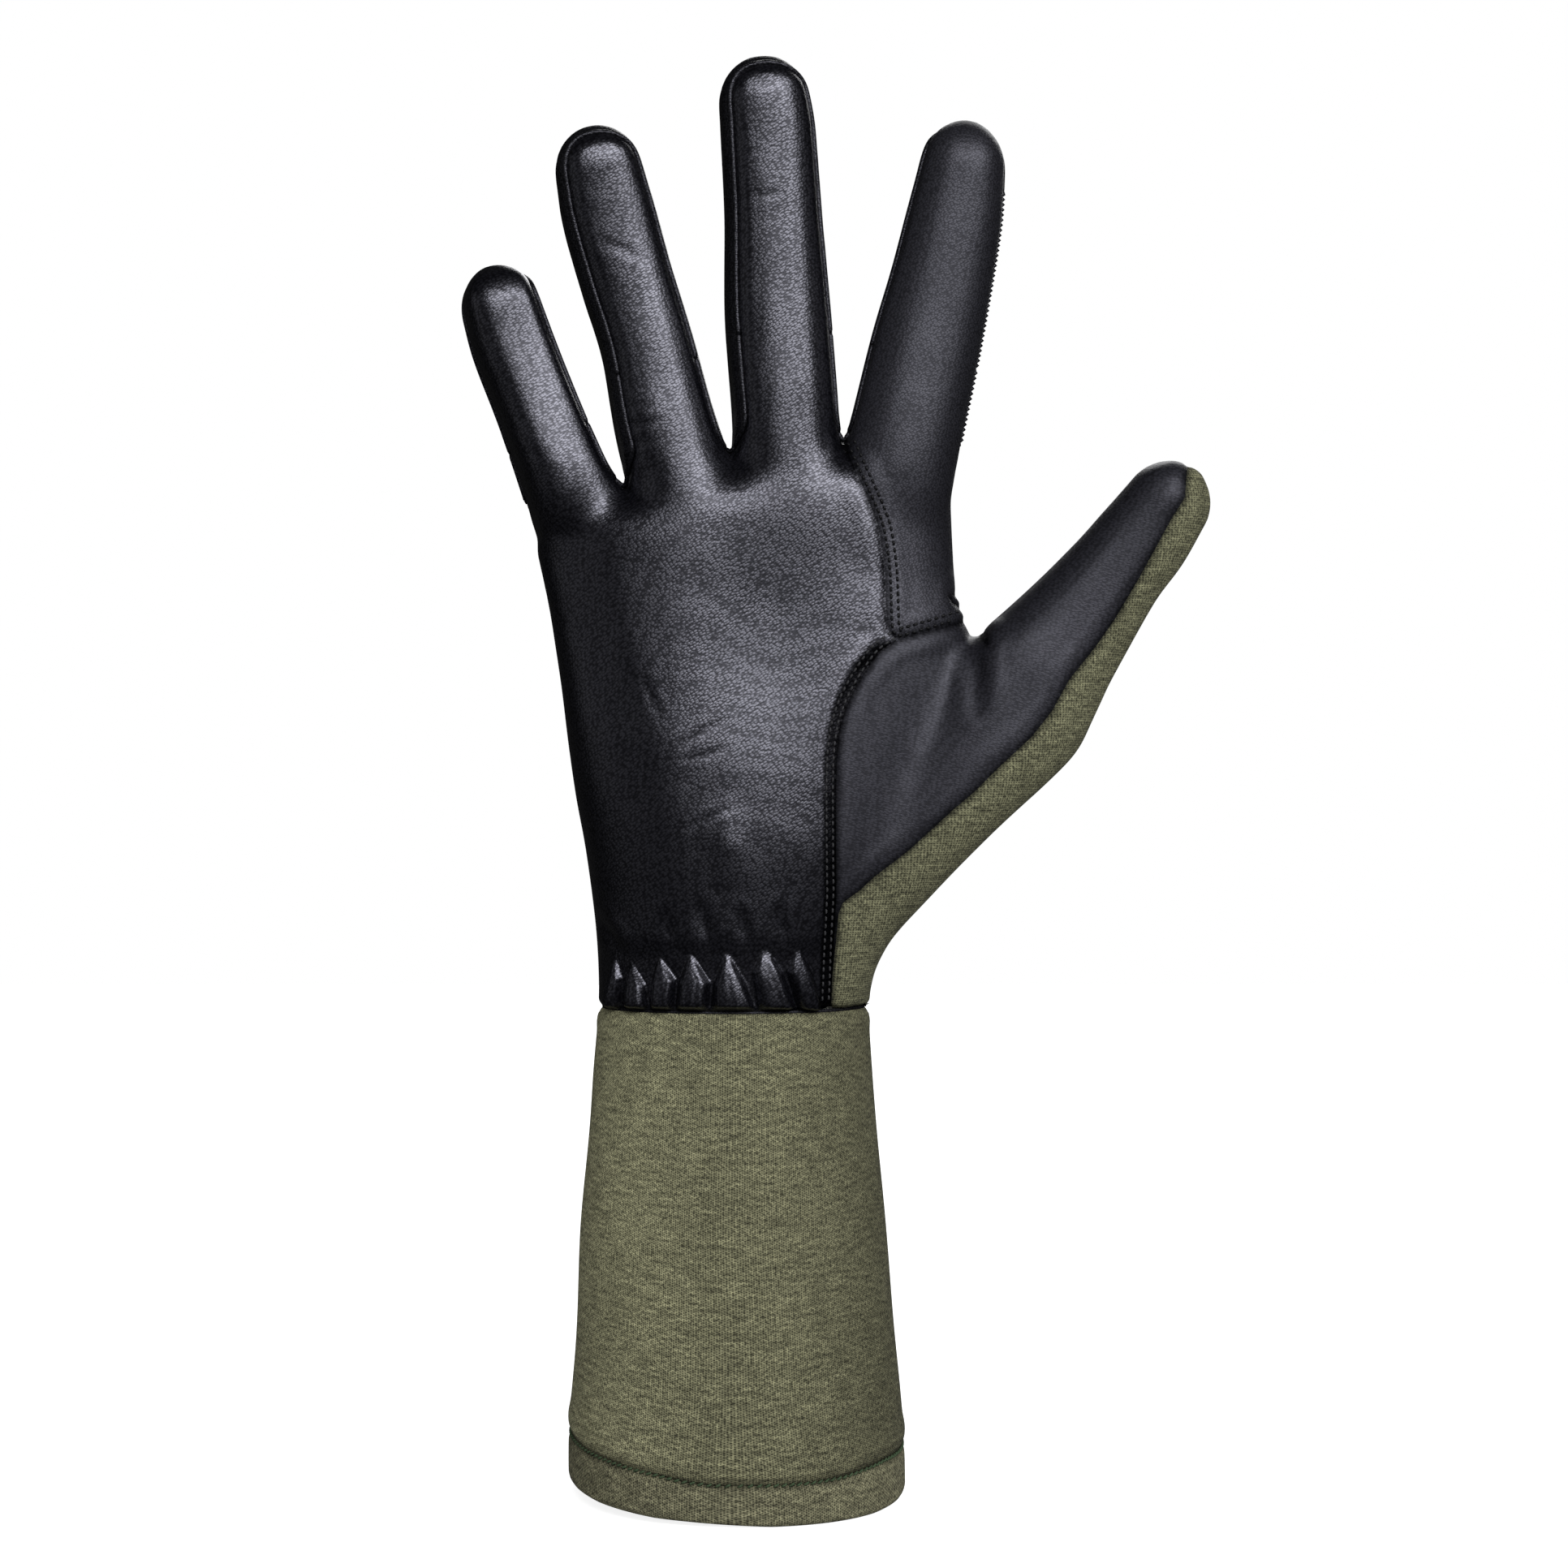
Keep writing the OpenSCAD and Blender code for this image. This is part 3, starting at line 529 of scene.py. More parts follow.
def from_line(course, flat):
    """Signed distance from an open line, which goes on straight at both ends: positive on its right."""
    course = np.array(course, float)
    course[0] += (course[0] - course[1]) * 4
    course[-1] += (course[-1] - course[-2]) * 4
    best = np.full(len(flat), 1e9)
    side = np.zeros(len(flat))
    for a, b in zip(course[:-1], course[1:]):
        way = b - a
        t = np.clip((flat - a) @ way / (way @ way), 0, 1)
        off = flat - a - t[:, None] * way
        dist = np.linalg.norm(off, axis=1)
        turn = way[1] * off[:, 0] - way[0] * off[:, 1]
        closer = dist < best - 1e-9
        side = np.where(closer, np.sign(turn), side)
        best = np.where(closer, dist, best)
    return best * side


class Places:
    """What the pattern maker needs to know about points of the skin, in metres."""

    def __init__(self, points):
        p = np.asarray(points) / MM
        self.x, self.y, self.z = p.T
        eye = np.array(CAMERA_PLACE) / MM
        spread = -eye[1] / (p[:, 1] - eye[1])
        self.seen = np.stack([eye[0] + (self.x - eye[0]) * spread, eye[2] + (self.z - eye[2]) * spread], 1)
        flat = p[:, [0, 2]]
        count = len(p)
        self.digit = np.zeros(count, int)
        self.gap = np.full(count, 1e9)
        self.way, self.across, self.rise, self.along, self.tip = (np.zeros(count) for _ in range(5))
        for number, digit in enumerate(DIGITS.values()):
            spine, half, way = digit["spine"], digit["half"], digit["way"]
            at = np.argmin(((flat[:, None] - spine[None]) ** 2).sum(2), axis=1)
            ahead = unit(np.gradient(spine, axis=0))
            off = flat - spine[at]
            gap = np.linalg.norm(off, axis=1) - half[at]
            mine = gap < self.gap
            self.gap = np.where(mine, gap, self.gap)
            self.digit = np.where(mine, number, self.digit)
            on = way[at] + (off * ahead[at]).sum(1) - digit["root_way"]
            sideways = off[:, 0] * ahead[at][:, 1] - off[:, 1] * ahead[at][:, 0]
            self.way = np.where(mine, on, self.way)
            self.across = np.where(mine, np.clip(sideways / half[at], -1, 1), self.across)
            root = flat - digit["root"]
            self.rise = np.where(mine, root @ digit["rise"], self.rise)
            self.along = np.where(mine, root @ digit["lean"], self.along)
            self.tip = np.where(mine, way[-1] - digit["root_way"] - on, self.tip)


def per_digit(name, at):
    """A value of each digit, for the points of at."""
    return np.array([digit[name] for digit in DIGITS.values()])[at.digit]


# How deep the seams of the side walls lie, from the digit's middle plane, as a share of its half depth: the palm
# seam on the left, on the right and over the tip, then the back seam in the same way. The thumb has no walls.
SEAM_DEPTHS = {
    "little": ((0.08, -0.45, 0.17), (0.35, 0.43, 0.5)), "ring": ((-0.82, -0.42, -0.69), (0.42, 0.42, 0.36)),
    "middle": ((-0.79, -0.31, -0.69), (0.42, 0.42, 0.36)), "index": ((-0.36, 0.04, 0.2), (0.42, 0.3, 0.5)),
    "thumb": ((0.22, 0.22, 0.2), (0.22, 0.22, 0.2)),
}
HAND_SEAM = [(-36, 3.0), (-31, -5.0), (37, -5.0), (43, 1.0), (52, 1.5)]      # by place across the hand
HAND_WALL = 5.0         # half of the side walls' width in the webs
ALL_LEATHER, ALL_KNIT = -99.0, -20.0    # where a line doesn't count
for number, side in enumerate(("palm_seam", "back_seam")):
    for name, digit in DIGITS.items():
        for corner, value in zip(("left", "right", "tip"), SEAM_DEPTHS[name][number]):
            digit[side + "_" + corner] = value


def tip_share(at):
    return np.clip(1 - at.tip / per_digit("length", at), 0, 1)


def middle_plane(at):
    """Depth of the digit's middle plane at each point, 0 in the hand."""
    share = tip_share(at)
    bent = -per_digit("forward", at) - per_digit("curl", at) * share ** 2
    return bent * ease((at.rise + 6) / 8)


def digit_seam(side, at):
    half = per_digit("tip_deep", at) + per_digit("thicker", at) * (1 - tip_share(at)) ** 2
    left, right, tip = (per_digit(side + "_" + c, at) * half for c in ("left", "right", "tip"))
    depth = left + (right - left) * (at.across + 1) / 2
    return depth + (tip - depth) * ease((9 - at.tip) / 7) + middle_plane(at)


# Thumb leather against knit, from the thumb's tip down to the wrist, as the camera sees it.
THUMB_KNIT_LINE = [
    (99.3, 225.4), (98.7, 217.9), (95.7, 213.2), (88.7, 200.2), (83.4, 191.2), (79.3, 185.3), (73.2, 177.7),
    (69.6, 171.1), (65.0, 165.2), (57.9, 158.7), (52.0, 152.8), (47.8, 149.3), (37.9, 140.2), (30.4, 134.4),
    (27.0, 131.2), (23.4, 128.6), (22.5, 126.2), (22.0, 120.7), (21.1, 112.2), (20.8, 105.4),
]
# Palm against index leather, from the web down to the corner, then index against thumb leather to the crotch.
INDEX_LINE = [
    (34, 330), (27.2, 263), (23.8, 237), (23.2, 230.6), (25.9, 224.4), (28.9, 217.8), (31.2, 211.9), (32.3, 206.1),
    (32.9, 200.2), (33.2, 191.2), (33.6, 188.2), (35.6, 186.6), (42.5, 188.4), (50.7, 190.7), (52.3, 188.8),
    (60, 212), (72, 250),
]
INDEX_WEB, INDEX_CORNER, INDEX_END = 3, 11, 14      # the web, the corner and the crotch are these points of it
# Palm against thumb leather, from that corner down to the wrist.
THUMB_LINE = [
    (35.6, 186.6), (31.6, 183.9), (28.2, 179.4), (25.4, 174.6), (23.6, 170.2), (22.5, 165.7), (21.9, 159.4),
    (21.8, 148.7), (21.9, 135.0), (21.9, 130.0), (21.4, 120), (21.1, 112.2), (20.8, 105.4),
]


def leather_edge(at):
    """Below zero on the leather of the palm side, above zero on side walls and knit."""
    little_edge = np.interp(at.z, *list(zip(*PALM_ROWS))[:2])
    hand = np.interp(at.x - np.maximum(little_edge + 36.9, 0), *zip(*HAND_SEAM))
    thumb = at.digit == 4
    hand = np.where(thumb & (at.x > 52), 2.5 - 5 * ease((at.x - 46) / 14), hand)
    blend = ease((at.rise + 1) / 7)
    seam = hand * (1 - blend) + digit_seam("palm_seam", at) * blend
    outer = -from_line(THUMB_KNIT_LINE, at.seen)
    right_half = (at.digit == 4) | (at.z < 190) & (at.x > 0)
    return np.maximum(at.y - seam, np.where(right_half, outer, ALL_LEATHER))


def wall_edge(at):
    """Below zero on the side walls, above zero on the knit, beyond the leather."""
    in_web = (at.x > -31) & (at.x < 38)
    hand = np.where(in_web, HAND_WALL, ALL_KNIT)
    blend = ease((at.rise + 1) / 7)
    seam = hand * (1 - blend) + digit_seam("back_seam", at) * blend
    seam = np.where((at.digit == 4) | ~in_web & (at.rise < 0), ALL_KNIT, seam)
    return at.y - seam


def index_side(at):
    return -from_line(INDEX_LINE, at.seen)


def thumb_side(at):
    return -from_line(THUMB_LINE, at.seen)


def back_thumb_side(at):
    return -from_line(INDEX_LINE[:INDEX_CORNER - 1:-1] + THUMB_LINE[1:], at.seen)


def above_roots(at):
    return at.rise - per_digit("start", at)


def above_cuts(at):
    """Where a digit's two pieces part. The hand counts as below."""
    return np.where(at.rise > 0, at.along - per_digit("cut", at), -9.0)


# ---- Cutting ----
# Leather and knit are cut along those lines: wherever a line crosses a face of the skin, the face is
# divided, so that every panel has a clean edge.
SNAP = 0.2              # an edge's end this near to a line moves onto it


def cut_along(skin, line, where=None):
    """Divides the faces of skin along the zero of line. where says which points may be divided."""
    skin.verts.ensure_lookup_table()
    points = np.array([v.co[:] for v in skin.verts])
    at = Places(points)
    value = line(at)
    ends = np.array([(e.verts[0].index, e.verts[1].index) for e in skin.edges])
    a, b = value[ends].T
    crossing = np.nonzero((a * b < 0) & (True if where is None else where(at)[ends].all(axis=1)))[0]
    t = a[crossing] / (a[crossing] - b[crossing])
    nearest = {}
    for edge, share in zip(crossing, t):
        for end, part in ((0, share), (1, 1 - share)):
            v = ends[edge, end]
            if part < SNAP and part < nearest.get(v, (1,))[0]:
                nearest[v] = (part, points[v] + (points[ends[edge, 1 - end]] - points[v]) * part)
    for v, (_, place) in nearest.items():
        value[v] = 0
        skin.verts[v].co = place
    on_line = dict.fromkeys(skin.verts[v] for v in nearest)     # in order, so that each run is the same
    skin.edges.ensure_lookup_table()
    for edge in [skin.edges[e] for e in crossing]:
        one, two = edge.verts
        f, g = value[one.index], value[two.index]
        if f * g < 0:
            _, new = bmesh.utils.edge_split(edge, one, f / (f - g))
            on_line[new] = None
    for face in dict.fromkeys(f for v in on_line for f in v.link_faces):
        corners = list(face.verts)
        marked = [k for k, v in enumerate(corners) if v in on_line]
        for k, first in enumerate(marked):
            split = [m for m in marked[k + 1:] if 1 < m - first < len(corners) - 1]
            if split:
                bmesh.utils.face_split(face, corners[first], corners[split[0]])
                break
    skin.verts.index_update()
    skin.edges.index_update()


skin = bmesh.new()
skin.from_mesh(form.data)
WRIST_SEAM = 106.0
bmesh.ops.bisect_plane(skin, geom=skin.faces[:] + skin.edges[:] + skin.verts[:], dist=1e-5,
                       plane_co=(0, 0, WRIST_SEAM * MM), plane_no=(0, 0, -1), clear_outer=True)
cut_along(skin, leather_edge)
cut_along(skin, wall_edge, lambda at: leather_edge(at) > -0.1)
cut_along(skin, index_side, lambda at: leather_edge(at) < 0.1)
cut_along(skin, thumb_side, lambda at: (leather_edge(at) < 0.1) & (index_side(at) < 0.1))
cut_along(skin, back_thumb_side, lambda at: (leather_edge(at) > -0.1) & (at.z < 196))
cut_along(skin, above_roots)
cut_along(skin, above_cuts)


# ---- The sewn skin ----
# Every seam pulls the panels down a little, and they swell again beside it.
pleat_edges = [e for e in skin.edges if max(v.co.z for v in e.verts) < 122 * MM and min(v.co.y for v in e.verts) < 0]
bmesh.ops.subdivide_edges(skin, edges=pleat_edges, cuts=1, use_grid_fill=True)
bmesh.ops.triangulate(skin, faces=skin.faces)
bmesh.ops.recalc_face_normals(skin, faces=skin.faces)
skin_points = np.array([v.co[:] for v in skin.verts])
skin_faces = np.array([[v.index for v in f.verts] for f in skin.faces])
skin.free()
bpy.data.objects.remove(form)

at = Places(skin_points[skin_faces].mean(axis=1))
PALM, INDEX, THUMB, WALL, BACK, THUMB_BACK = range(6)
THUMB_ONLY = 54         # beyond this the thumb has no index leather
on_leather = leather_edge(at) < 0
panel = np.where(index_side(at) > 0, INDEX, np.where(thumb_side(at) > 0, THUMB, PALM))
panel = np.where((at.digit == 4) & (at.x > THUMB_ONLY), THUMB, panel)
panel = np.where(on_leather, panel, np.where(wall_edge(at) < 0, WALL, BACK))
digit_leather = np.array([PALM, PALM, PALM, INDEX, THUMB])[at.digit]
panel = np.where((panel < WALL) & (above_roots(at) > -1), digit_leather, panel)
thumb_knit = (panel == BACK) & ((back_thumb_side(at) > 0) & (at.z < 196) | (at.digit == 4) & (at.rise > -9))
panel = np.where(thumb_knit, THUMB_BACK, panel)
stage = np.where(above_roots(at) < 0, 0, np.where(above_cuts(at) < 0, 1, 2))
face_digit, face_x = at.digit, at.x


def normals_of(points, faces):
    """The skin's direction at each point, weighted by the faces' areas."""
    a, b, c = (points[faces[:, k]] for k in range(3))
    across = np.cross(b - a, c - a)
    total = np.zeros_like(points)
    for k in range(3):
        np.add.at(total, faces[:, k], across)
    return unit(total)


def shared_edges(faces):
    """Each edge between two faces: its two points and the two faces."""
    sides = np.concatenate([faces[:, [0, 1]], faces[:, [1, 2]], faces[:, [2, 0]]])
    owner = np.tile(np.arange(len(faces)), 3)
    key = np.sort(sides, axis=1) @ np.array([len(skin_points), 1])
    order = np.argsort(key, kind="stable")
    same = np.nonzero(key[order][1:] == key[order][:-1])[0]
    return np.sort(sides[order[same]], axis=1), owner[order[same]], owner[order[same + 1]]


edge_points, face_one, face_two = shared_edges(skin_faces)
is_seam = panel[face_one] != panel[face_two]
seam_edges = edge_points[is_seam]
SEAM_DEPTH, SEAM_REACH = 0.38, 0.8
PUFF, PUFF_AWAY, PUFF_REACH = 0.22, 3.2, 1.6
WRIST_DEPTH, WRIST_REACH = 0.9, 0.9


def bell(distance, reach):
    """A soft bump: 1 at no distance, and fading over its reach."""
    return np.exp(-(distance / reach) ** 2)


tree = KDTree(len(seam_edges) * 2)
for number, place in enumerate(np.concatenate([skin_points[seam_edges[:, 0]], skin_points[seam_edges].mean(axis=1)])):
    tree.insert(place, number)
tree.balance()
to_seam = np.array([tree.find(point)[2] for point in skin_points]) / MM
skin_normals = normals_of(skin_points, skin_faces)
sink = SEAM_DEPTH * bell(to_seam, SEAM_REACH) - PUFF * bell(to_seam - PUFF_AWAY, PUFF_REACH)
sink += WRIST_DEPTH * bell(skin_points[:, 2] / MM - WRIST_SEAM, WRIST_REACH)

# Folds and creases, as the camera sees them: a course, its depth and its half width. Beside it the skin rises.
FOLD_RIM = 0.35         # as a share of the depth
FOLDS = [
    ([(52.3, 188.2), (52.7, 171.6)], 0.9, 1.9), ([(47.0, 183.4), (45.9, 173.7)], 0.15, 1.8),
    ([(58.0, 184.0), (56.5, 172.0)], -0.15, 2.4), ([(-27.0, 237.1), (-19.3, 238.4)], 0.12, 0.8),
    ([(-26.1, 233.5), (-17.2, 234.4)], 0.14, 0.8), ([(-25.0, 229.4), (-19.3, 230.0)], 0.12, 0.8),
    ([(0.2, 283.9), (9.4, 284.8)], 0.08, 1.0), ([(-29.5, 274.2), (-20.0, 270.2)], 0.1, 1.0),
    ([(-12.3, 163.4), (-3.1, 168.9)], 0.12, 0.8), ([(-11.4, 160.0), (-2.0, 162.4)], 0.1, 0.8),
    ([(-11.4, 144.8), (-2.2, 149.2)], 0.12, 0.8), ([(-20.3, 177.5), (-17.1, 169.2)], 0.12, 0.9),
    ([(-14.0, 118.5), (-15.4, 125.5)], 0.5, 1.3), ([(-6.2, 119.0), (-7.5, 127.0)], 0.5, 1.3),
    ([(1.9, 119.5), (0.9, 126.0)], 0.45, 1.3), ([(10.2, 120.0), (9.4, 126.5)], 0.4, 1.3),
    ([(-30.5, 125.0), (-26.0, 118.0)], 0.7, 1.3), ([(-44.5, 211.0), (-31.5, 208.5)], 0.16, 1.6),
    ([(-37, 212), (-32.5, 192), (-28.5, 177), (-25.0, 165), (-21.5, 152)], 0.4, 3.6),
    ([(-2.5, 146.0), (-0.5, 136.0)], -0.35, 3.0),
]


def to_course(course, flat):
    """Distance from a line of points, and how far along it, from 0 to 1."""
    course = np.array(course, float)
    steps = np.linalg.norm(np.diff(course, axis=0), axis=1)
    best, share, done = np.full(len(flat), 1e9), np.zeros(len(flat)), 0.0
    for a, b, length in zip(course[:-1], course[1:], steps):
        t = np.clip((flat - a) @ (b - a) / length ** 2, 0, 1)
        dist = np.linalg.norm(flat - a - t[:, None] * (b - a), axis=1)
        share = np.where(dist < best, (done + t * length) / steps.sum(), share)
        best = np.minimum(dist, best)
        done += length
    return best, share


at = Places(skin_points)
facing = ease(-skin_normals[:, 1] * 2.5)
for course, depth, reach in FOLDS:
    away, share = to_course(course, at.seen)
    fade = np.clip(1 - abs(share - 0.5) * 1.2, 0, 1)
    sink += facing * fade * (depth * bell(away, reach) - depth * FOLD_RIM * bell(away - 2.2 * reach, reach))

# The elastic inside the wrist gathers the palm's leather into pointed teeth. Each has its left edge, from the
# apex down to the seam, and its right edge, which runs out to a shoulder first: all as the camera sees them.
PLEATS = [
    ([(-27.2, 117.0), (-28.4, 112.0), (-29.4, 104)], [(-27.0, 117.0), (-25.6, 111.0), (-26.0, 104)]),
    ([(-23.6, 115.4), (-24.6, 110.5), (-25.0, 104)], [(-23.4, 115.4), (-20.4, 111.0), (-19.6, 104)]),
    ([(-17.5, 116.6), (-18.9, 111.5), (-19.2, 104)], [(-17.1, 116.6), (-13.6, 112.0), (-14.3, 104)]),
    ([(-10.6, 117.3), (-13.0, 111.0), (-13.7, 104)], [(-10.1, 117.3), (-5.9, 112.2), (-6.6, 104)]),
    ([(-2.6, 117.5), (-5.2, 110.5), (-5.8, 104)], [(-1.9, 117.5), (2.0, 112.8), (4.3, 104)]),
    ([(5.6, 118.4), (3.3, 113.6), (4.9, 104)], [(6.6, 118.4), (10.1, 113.6), (13.4, 104)]),
    ([(13.0, 118.6), (11.1, 113.4), (13.9, 104)], [(13.8, 118.6), (16.6, 113.8), (18.9, 104)]),
]
PLEAT_RISE, PLEAT_SUNK, PLEAT_RIPPLE = 2.6, 0.55, 0.13
x, z = at.seen.T
pleat = np.full(len(x), -PLEAT_SUNK)
for left_edge, right_edge in PLEATS:
    heights = [p[1] for p in left_edge][::-1]
    left, right = (np.interp(z, heights, [p[0] for p in edge][::-1]) for edge in (left_edge, right_edge))
    down = np.clip((heights[-1] - z) / (heights[-1] - WRIST_SEAM), 0, 1)
    place = (x - left) / (right - left)
    ridge = 0.42 + 0.2 * down
    slope = np.where(place < ridge, (ridge - place) / ridge, (place - ridge) / (1 - ridge))
    across = 1 - np.clip(slope, 0, 1) ** 4
    ripple = PLEAT_RIPPLE * np.sin(place * 21 + 2 * left_edge[0][0]) * down * np.clip((place - 0.4) * 4, 0, 1)
    rise = (PLEAT_RISE * (1 - (1 - down) ** 2) + ripple) * across - PLEAT_SUNK
    pleat = np.maximum(pleat, np.where((place > 0) & (place < 1) & (z < heights[-1]), rise, -PLEAT_SUNK))
gathered = facing * ease((z - 104.6) / 1.6) * ease((121.5 - z) / 5.5) * ease((20.3 - x) / 1.5) * ease((x + 31) / 2)
sink -= gathered * pleat
# The palm's leather dips under the double row beside the thumb panel.
beside = -thumb_side(at)
sink += 0.35 * facing * ease((z - 108) / 4) * ease((184 - z) / 4) * bell(beside - 1.4, 1.2)
# The palm is hollow in its middle.
sink += 1.9 * facing * np.exp(-((x - 9) / 19) ** 2 - ((z - 188) / 28) ** 2)
UNEVENNESS = 0.03       # a worn glove is never quite even
sink += UNEVENNESS * np.sin(x / 3.7 + z / 5.3) * np.sin(z / 4.1 - x / 6.7) * facing
skin_points = skin_points - skin_normals * sink[:, None] * MM
skin_normals = normals_of(skin_points, skin_faces)


# ---- Materials ----
def reckon(tree, operation, *values):
    """One step of shader arithmetic."""
    return wire(tree, "Math", dict(enumerate(values)), operation=operation).outputs[0]


def spread_of(tree, value, low, high, start=0.0, end=1.0, **settings):
    """A shader value that goes from low to high as value goes from start to end."""
    return wire(tree, "MapRange", {"Value": value, "From Min": start, "From Max": end, "To Min": low,
                                   "To Max": high}, **settings).outputs[0]


def leather(name, base, gloss, roughness, cell, turn, depth, contrast, fine=0.25):
    """Black leather: domed cells of the given size (mm) in leaning rows, between fine grooves. As painted shade, the
    grooves take contrast off the gloss and 0.6 off the colour, and painted shade beside seams darkens both."""
    material, tree, paint = new_material(name)
    rest = wire(tree, "Attribute", attribute_name="rest_place").outputs["Vector"]
    # The painted shade beside seams, which darkens both the colour and the gloss.
    seam = wire(tree, "Attribute", attribute_name="painted_shade_and_light").outputs["Fac"]
    place = wire(tree, "Mapping", {"Vector": rest, "Rotation": (0, turn, 0), "Scale": [c * MM for c in cell]},
                 vector_type="TEXTURE").outputs[0]
    wobble = wire(tree, "TexNoise", {"Vector": rest, "Scale": 500.0, "Detail": 1.0}).outputs["Color"]
    moved = wire(tree, "VectorMath", {0: wobble, 1: (0.3, 0.3, 0.3), 2: place}, operation="MULTIPLY_ADD").outputs[0]
    cells = wire(tree, "TexVoronoi", {"Vector": moved, "Scale": 1.0, "Randomness": 0.65}, feature="F1")
    groove = spread_of(tree, cells.outputs["Distance"], 0.0, 1.0, 0.75, 0.2, interpolation_type="SMOOTHSTEP")
    grit = wire(tree, "TexNoise", {"Vector": place, "Scale": 2.0, "Detail": 2.0}).outputs["Fac"]
    broad = wire(tree, "TexNoise", {"Vector": rest, "Scale": 70.0, "Detail": 2.0}).outputs["Fac"]
    height = reckon(tree, "MULTIPLY_ADD", grit, fine, groove)
    tint = wire(tree, "MixRGB", {"Fac": groove, "Color1": (*(0.4 * c for c in base), 1), "Color2": (*base, 1)})
    shine = spread_of(tree, groove, gloss * (1 - contrast), gloss)
    feed(paint, {
        "Normal": wire(tree, "Bump", {"Height": height, "Strength": 1.0, "Distance": depth * MM}).outputs[0],
        "Base Color": wire(tree, "VectorMath", {0: tint.outputs[0], "Scale": seam}, operation="SCALE").outputs[0],
        "Specular IOR Level": reckon(tree, "MULTIPLY", shine, seam),
        "Roughness": spread_of(tree, broad, roughness - 0.03, roughness + 0.03, 0.3, 0.7),
        "Specular Tint": (0.86, 0.86, 1.0, 1)})
    return material


# The heather of the knit: how its noise is stretched, its scale, its detail and how much it changes the shade.
HEATHER = (((1, 1, 1), 1700.0, 2.0, 0.7), ((0.25, 1, 1), 900.0, 1.0, 0.3), ((0.3, 1, 1), 260.0, 1.0, 0.06),
           ((1, 1, 1), 60.0, 1.0, 0.05))


def knit(name, yarn, hole, pitch, slant=0.5):
    """Heathered knit: loops in columns, a dark hole between them, and rows that take more or less of the dye.
    pitch is across and along, in mm; slant is how far each column is moved against the one beside it."""
    material, tree, paint = new_material(name)
    flat = wire(tree, "UVMap", uv_map="cloth").outputs[0]
    part = wire(tree, "SeparateXYZ", {0: flat}).outputs
    wobble = wire(tree, "TexNoise", {"Vector": flat, "Scale": 320.0, "Detail": 1.0}).outputs["Fac"]
    column, row = (reckon(tree, "MULTIPLY_ADD", wobble, loose, reckon(tree, "DIVIDE", part[axis], size * MM))
                   for axis, size, loose in zip("XY", pitch, (0.25, 0.6)))
    stagger = reckon(tree, "MULTIPLY_ADD", reckon(tree, "FLOOR", column), slant, row)
    spot = wire(tree, "CombineXYZ", {0: reckon(tree, "FRACT", column), 1: reckon(tree, "FRACT", stagger)}).outputs[0]
    away = wire(tree, "VectorMath", {0: spot, 1: (0.5, 0.5, 0)}, operation="DISTANCE").outputs["Value"]
    loop = spread_of(tree, away, 0.0, 1.0, 0.1, 0.45, interpolation_type="SMOOTHSTEP")
    shades = []
    for size, scale, detail, change in HEATHER:
        stretched = wire(tree, "Mapping", {"Vector": flat, "Scale": size}).outputs[0]
        noise = wire(tree, "TexNoise", {"Vector": stretched, "Scale": scale, "Detail": detail}).outputs["Fac"]
        shades.append(spread_of(tree, noise, 1 - change, 1 + change, 0.3, 0.7))
    both = shades[0]
    # The heather's shades, then each point's painted light and shade, such as the painted shade beside seams.
    for shade in shades[1:] + [wire(tree, "Attribute", attribute_name="painted_shade_and_light").outputs["Fac"]]:
        both = reckon(tree, "MULTIPLY", both, shade)
    base = wire(tree, "MixRGB", {"Fac": loop, "Color1": (*hole, 1), "Color2": (*yarn, 1)}).outputs[0]
    height = reckon(tree, "MULTIPLY_ADD", shades[0], 0.35, loop)
    feed(paint, {
        "Base Color": wire(tree, "VectorMath", {0: base, "Scale": both}, operation="SCALE").outputs[0],
        "Normal": wire(tree, "Bump", {"Height": height, "Strength": 0.8, "Distance": 0.1 * MM}).outputs[0],
        "Roughness": 0.9, "Specular IOR Level": 0.15})
    return material


# ---- Panels ----
# The glove's cut pieces: a grained palm leather, a matt index leather, a smooth thumb leather, black side walls
# between the fingers, and the olive knit of the back. Each is cut from the sewn skin and given a thickness.
PANEL_THICKNESS = 1.0
SEAM_PAINTED_SHADE, SEAM_PAINTED_SHADE_REACH = 0.8, 0.75
at = Places(skin_points)
# Painted shade, with some dirt: leather and knit are darkened, colour and gloss, within a little of every seam, where
# shade falls in the sunk seam.
painted_shade_and_light = 1 - SEAM_PAINTED_SHADE * bell(to_seam, SEAM_PAINTED_SHADE_REACH)
# Painted shade also darkens the palm's leather in the strip that its double row holds down beside the thumb, where it
# dips.
beside = -thumb_side(at)
in_strip = ease((beside + 0.3) / 0.5) * ease((3.1 - beside) / 0.5) * ease((at.z - 104) / 2) * ease((186 - at.z) / 2)
painted_shade_and_light *= 1 - SEAM_PAINTED_SHADE * np.where(at.y < 0, in_strip, 0)
all_digits = list(DIGITS)
THUMB_OUTER = [(29, 105), (34, 118), (44, 135), (56.5, 150), (68, 164), (77, 173), (88, 188), (97, 203), (104, 222)]


